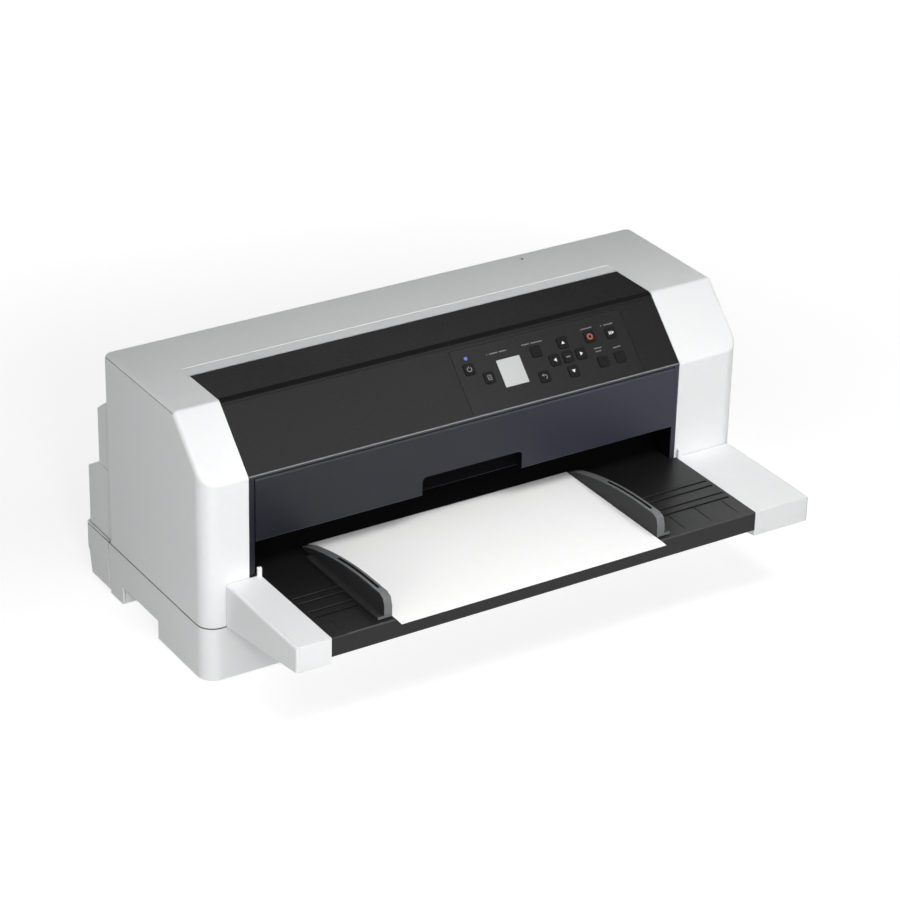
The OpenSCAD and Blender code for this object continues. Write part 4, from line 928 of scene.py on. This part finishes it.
# Start and end of each label line across and down the slope, and the shares of it that its dashes fill.
LABELS = [((27.6, 22.1), (51.7, 22.2), ((0.0, 0.05), (0.14, 0.55), (0.64, 1.0))),
          ((70.4, 21.4), (95.4, 22.0), ((0.0, 0.36), (0.44, 1.0))), ((142.9, 21.0), (156.7, 20.8), ((0.0, 1.0),)),
          ((167.3, 22.1), (182.3, 22.2), ((0.0, 0.08), (0.24, 1.0))), ((150.2, 44.2), (158.6, 44.2), ((0.0, 1.0),)),
          ((150.2, 47.6), (158.6, 47.6), ((0.0, 0.85),)), ((171.8, 48.3), (182.1, 47.8), ((0.0, 0.9),))]
# Each rear port's first and last contact across and up, and how many there are in a row.
PORTS = ((138.5, 177.5, 20.6, 24.0, 18), (198.6, 205.4, 21.0, 23.6, 4), (223.0, 231.0, 22.8, 22.8, 8))
PIN_PITCH = 12.7


def run_dashes(name, points, finish, body, width, rise):
    """Dashes between each two points in turn."""
    lines = bpy.data.meshes.new(name + "_lines")
    lines.from_pydata(points, [(i, i + 1) for i in range(0, len(points), 2)], [])
    run_tree(DASH, name, lines, finish, body, {"Width": width * MM, "Rise": rise * MM})


def label_dashes():
    """Plain dashes where the panel has its words."""
    points = [on_slope(x0 + (x1 - x0) * t, s0 + (s1 - s0) * t, 0.02)
              for (x0, s0), (x1, s1), shares in LABELS for share in shares for t in share]
    run_dashes("panel_label_dashes", points, "key mark grey", "case", 1.1, 1.0)


def port_contacts():
    """Rows of contacts in the mouths of the rear ports."""
    points = [at(x0 + (x1 - x0) * i / (count - 1), PORT_FACE - depth, z)
              for x0, x1, z0, z1, count in PORTS for z in sorted({z0, z1}) for i in range(count)
              for depth in (3.6, 0.6)]
    run_dashes("port_contacts", points, "turned brass", BODY_OF["main_board"], 0.7, 0.7)


def tractor_pins():
    """The pins of the two tractors, half an inch apart, that take the holes of fanfold paper."""
    tree = pin_tree()
    for node in ("tractor_left", "tractor_right"):
        low, high = box_mm(node)
        spots = bpy.data.meshes.new(node + "_pin_spots")
        spots.from_pydata([at(high.x - 1.5, (low.y + high.y) / 2 + step * PIN_PITCH, high.z - 4.1)
                           for step in (-1, 0, 1)], [], [])
        run_tree(tree, node + "_pins", spots, "plated steel", BODY_OF[node],
                 {"Foot Radius": 0.0013, "Tip Radius": 0.0007, "Height": 0.0021})


# -------- inner pieces

# Nodes that keep the frame's shape, by finish, and how far the edges of some are rounded.
KEPT = {
    "circuit board green": ["panel_board"], "black rubber": ["feet", "carriage_belt"],
    "plated steel": ["chassis_plate", "chassis_screws", "side_plate_left", "side_plate_right", "carriage_rail"],
    "mechanism black": ["platen", "print_carriage"], "motor can": ["feed_motor", "carriage_motor"],
    "gear nylon": ["idler_gear", "idler_pulley", "tractor_left", "tractor_right"],
    "turned brass": ["motor_pinion", "drive_pulley"], "ground shaft": ["carriage_shaft", "tractor_shaft"]}
ROUNDED = {"feet": 0.4, "platen": 0.4, "carriage_rail": 0.3, "print_carriage": 0.4, "tractor_left": 0.4,
           "tractor_right": 0.4}
FEED_SHAFT, PINCH_SHAFT = 4.0, 3.0


def roller_pieces():
    """Rubber sleeves on steel shafts, with a nylon gear at the right end of the driven ones."""
    for place, kind, shaft in (("front", "feed", FEED_SHAFT), ("rear", "feed", FEED_SHAFT),
                               ("front", "pinch", PINCH_SHAFT), ("rear", "pinch", PINCH_SHAFT)):
        node = f"{place}_{kind}_roller"
        low, high = box_mm(node)
        axis = (low + high) / 2

        def tone(centre, normal):
            if shaft == FEED_SHAFT and 265.5 < centre.x < 274.5:
                return 2
            sleeve_end = abs(normal.x) > 0.9 and low.x + 15 < centre.x < high.x - 8
            return 1 if sleeve_end or math.hypot(centre.y - axis.y, centre.z - axis.z) > shaft + 0.8 else 0

        dress(node, node + "_dressed", ["ground shaft", "black rubber", "gear nylon"], "rubber", tone)


def zones(*places):
    """A rule to paint by: the first zone (x, y and z ranges, number) that holds a face's centre."""
    def rule(centre, normal):
        for x, y, z, number in places:
            if x[0] <= centre.x <= x[1] and y[0] <= centre.y <= y[1] and z[0] <= centre.z <= z[1]:
                return number
        return 0
    return rule


ANY, BELOW_BOARD = (-math.inf, math.inf), (-math.inf, 13.8 - TINY)
CAPACITORS = ((-227, -152), (4, 27))


def port_mouths(shape):
    """Opens each rear port: a rim of plate round a deep dark mouth."""
    for wall, depth in ((1.1, 0.0), (0.1, -4.0)):
        mouths = [f for f in shape.faces if f.normal.y > 0.9 and f.calc_center_median().y > PORT_FACE * MM
                  and f.calc_area() > 80 * MM * MM]
        bmesh.ops.inset_individual(shape, faces=mouths, thickness=wall * MM, depth=depth * MM, use_even_offset=True)
        for face in mouths:
            face.material_index = 1


def mechanism_pieces():
    """Inner parts made of more than one material, painted by place."""
    roller_pieces()
    dress("print_head", "print_head_block", ["cast head", "motor can"], "head_metal", (0.3, corners(60, 3), 2),
          lambda centre, normal: 1 if centre.z < 128 else 0)
    dress("ribbon_cartridge", "ribbon_cartridge_case", ["mechanism black", "ribbon cloth", "gear nylon"],
          "mech_black", (0.6, corners(60, 5), 2),
          lambda centre, normal: 1 if centre.z < 112.2 and abs(centre.x + 10) < 245
          else zones(((-221, -199), (-12, 10), (171.5, 179), 2))(centre, normal))
    dress("power_board", "power_board_parts",
          ["circuit board brown", "transformer tape", "plated steel", "capacitor sleeve"], "board_brown",
          zones(((-196, -155), (52, 94), (15.8, 49), 1), ((-136, -131), (2, 114), (15.8, 49), 2),
                (ANY, ANY, BELOW_BOARD, 2), (*CAPACITORS, (15.8, 44.5), 3),
                (*CAPACITORS, (44.5, 49), 2)))

    shape = own_shape("main_board")
    bmesh.ops.dissolve_limit(shape, angle_limit=2 * FLAT, verts=shape.verts, edges=shape.edges)
    paint(shape, lambda centre, normal: 2 if centre.z > 16.2 or centre.z < 9.8 else 1 if centre.z > 11.8 else 0)
    port_mouths(shape)
    make_piece("main_board_parts", shape, ["circuit board green", "mechanism black", "plated steel"],
               "main_board")

    dress("ac_inlet", "ac_inlet_socket", ["mechanism black", "plated steel"], "mech_black",
          (0.4, corners(60, 12), 2), zones(((-259.5, -242.5), (179, 192), (28.5, 35.5), 1)))


def dress_kept_nodes():
    for finish, nodes in KEPT.items():
        for thing in (NODES[node] for node in nodes):
            for part in thing.material_slots:
                part.material = FINISH[finish]
    for node, rounding in ROUNDED.items():
        modify(NODES[node], "merged", "WELD", merge_threshold=MERGE)
        modify(NODES[node], "whole_faces", "DECIMATE", decimate_type="DISSOLVE", angle_limit=FLAT)
        modify(NODES[node], "rounded", "BEVEL", width=rounding * MM, segments=2, limit_method="ANGLE",
               angle_limit=math.radians(40))
        modify(NODES[node], "even_shading", "WEIGHTED_NORMAL", weight=80)


# -------- floor, light and camera

WHITE = (1, 1, 1, 1)
BODY_MIDDLE = (0.0, -0.05, 0.15)
# Each lamp: place, target and size in metres, power, and a spread in degrees where a grid narrows it.
LAMPS = {
    "key_softbox": ((-1.375, -3.63, 1.86), BODY_MIDDLE, (0.7, 0.7), 41.0),
    "near_left": ((-1.5, -1.1, 0.45), (-0.3, -0.05, 0.17), (0.5, 0.5), 10.0),
    "right_softbox": ((1.06, -2.33, 0.82), BODY_MIDDLE, (0.8, 0.8), 9.5),
    "low_front": ((0.1, -2.2, 0.75), BODY_MIDDLE, (1.2, 1.0), 2.3),
    "back_softbox": ((0.7, 2.7, 0.45), (0.0, 0.15, 0.12), (1.4, 1.0), 11.0),
    "right_side_softbox": ((2.7, 0.5, 0.35), (0.2, 0.0, 0.12), (1.0, 0.8), 8.0),
    "over_left": ((-0.8, -0.5, 1.2), (-0.15, 0.0, 0.25), (0.6, 0.6), 1.8),
    "table_strip": ((0.05, -0.5, 0.95), (0.0, -0.25, 0.1), (1.0, 0.3), 1.7, 75.0)}
# The photograph's view, above and to the left of the front: degrees, and metres to the target.
AZIMUTH, ELEVATION, ROLL, DISTANCE, TARGET = -32.63, 27.5, 1.36, 3.2417, (0.0, 0.006, 0.1516)


def light_lamps():
    """Soft rectangular studio lamps."""
    for name, (place, target, size, power, *spread) in LAMPS.items():
        data = bpy.data.lights.new(name, "AREA")
        data.shape, data.energy, data.spread = "RECTANGLE", power, math.radians(*spread or (180.0,))
        data.size, data.size_y = size
        thing = place_new(name, data)
        thing.location = place
        thing.rotation_euler = (Vector(target) - Vector(place)).to_track_quat("-Z", "Y").to_euler()
        thing.visible_camera = False


def empty_tree(owner):
    owner.use_nodes = True
    owner.node_tree.nodes.clear()
    return owner.node_tree


def seen_share(tree):
    """1 where a surface is seen, in a mirror or through glass too, and 0 where it only lights others."""
    ray = put(tree, "ShaderNodeLightPath").outputs
    seen = calc(tree, "MAXIMUM", ray["Is Camera Ray"], ray["Is Glossy Ray"])
    return calc(tree, "MAXIMUM", seen, ray["Is Transmission Ray"])


def studio():
    """A white room: seen white everywhere, though it lights the printer only a little."""
    world = bpy.data.worlds.new("studio")
    bpy.context.scene.world = world
    tree = empty_tree(world)
    seen = seen_share(tree)
    dim, bright = (put(tree, "ShaderNodeBackground", {"Color": WHITE, "Strength": strength}).outputs[0]
                   for strength in (0.05, 1.0))
    both = put(tree, "ShaderNodeMixShader", {0: seen, 1: dim, 2: bright})
    put(tree, "ShaderNodeOutputWorld", {"Surface": both.outputs[0]})

    floor_finish = bpy.data.materials.new("white floor")
    tree = empty_tree(floor_finish)
    away = put(tree, "ShaderNodeVectorMath", {0: object_place(tree)}, operation="LENGTH")
    glow = calc(tree, "MULTIPLY", seen_share(tree), remap(tree, away.outputs["Value"], 0.5, 1.3, 0.78, 1.0))
    matte = put(tree, "ShaderNodeBsdfDiffuse", {"Color": (0.42, 0.42, 0.42, 1)})
    white = put(tree, "ShaderNodeEmission", {"Color": WHITE, "Strength": glow})
    both = put(tree, "ShaderNodeAddShader", {0: matte.outputs[0], 1: white.outputs[0]})
    put(tree, "ShaderNodeOutputMaterial", {"Surface": both.outputs[0]})
    mesh = bpy.data.meshes.new("floor")
    mesh.from_pydata([(-20, -20, 0), (20, -20, 0), (20, 20, 0), (-20, 20, 0)], [], [(0, 1, 2, 3)])
    mesh.materials.append(floor_finish)
    floor = place_new("floor", mesh)
    light_lamps()


def camera():
    """Takes the photograph's view with a long lens."""
    azimuth, elevation, roll = (math.radians(v) for v in (AZIMUTH, ELEVATION, ROLL))
    back = Vector((math.sin(azimuth) * math.cos(elevation), -math.cos(azimuth) * math.cos(elevation),
                   math.sin(elevation)))
    right = Vector((math.cos(azimuth), math.sin(azimuth), 0.0))
    up = back.cross(right)
    across = right * math.cos(roll) + up * math.sin(roll)
    upward = up * math.cos(roll) - right * math.sin(roll)
    data = bpy.data.cameras.new("camera")
    data.lens, data.sensor_width, data.sensor_fit = 126.16, 36.0, "HORIZONTAL"
    data.clip_start, data.clip_end = 0.1, 60.0
    thing = place_new("camera", data)
    place = Vector(TARGET) + back * DISTANCE
    thing.matrix_world = Matrix.Translation(place) @ Matrix((across, upward, back)).transposed().to_4x4()
    bpy.context.scene.camera = thing
    bpy.context.scene.view_settings.view_transform = "Standard"


make_finishes()
case_pieces()
front_pieces()
table_pieces()
panel_pieces()
label_dashes()
tractor_pins()
mechanism_pieces()
port_contacts()
dress_kept_nodes()
studio()
camera()
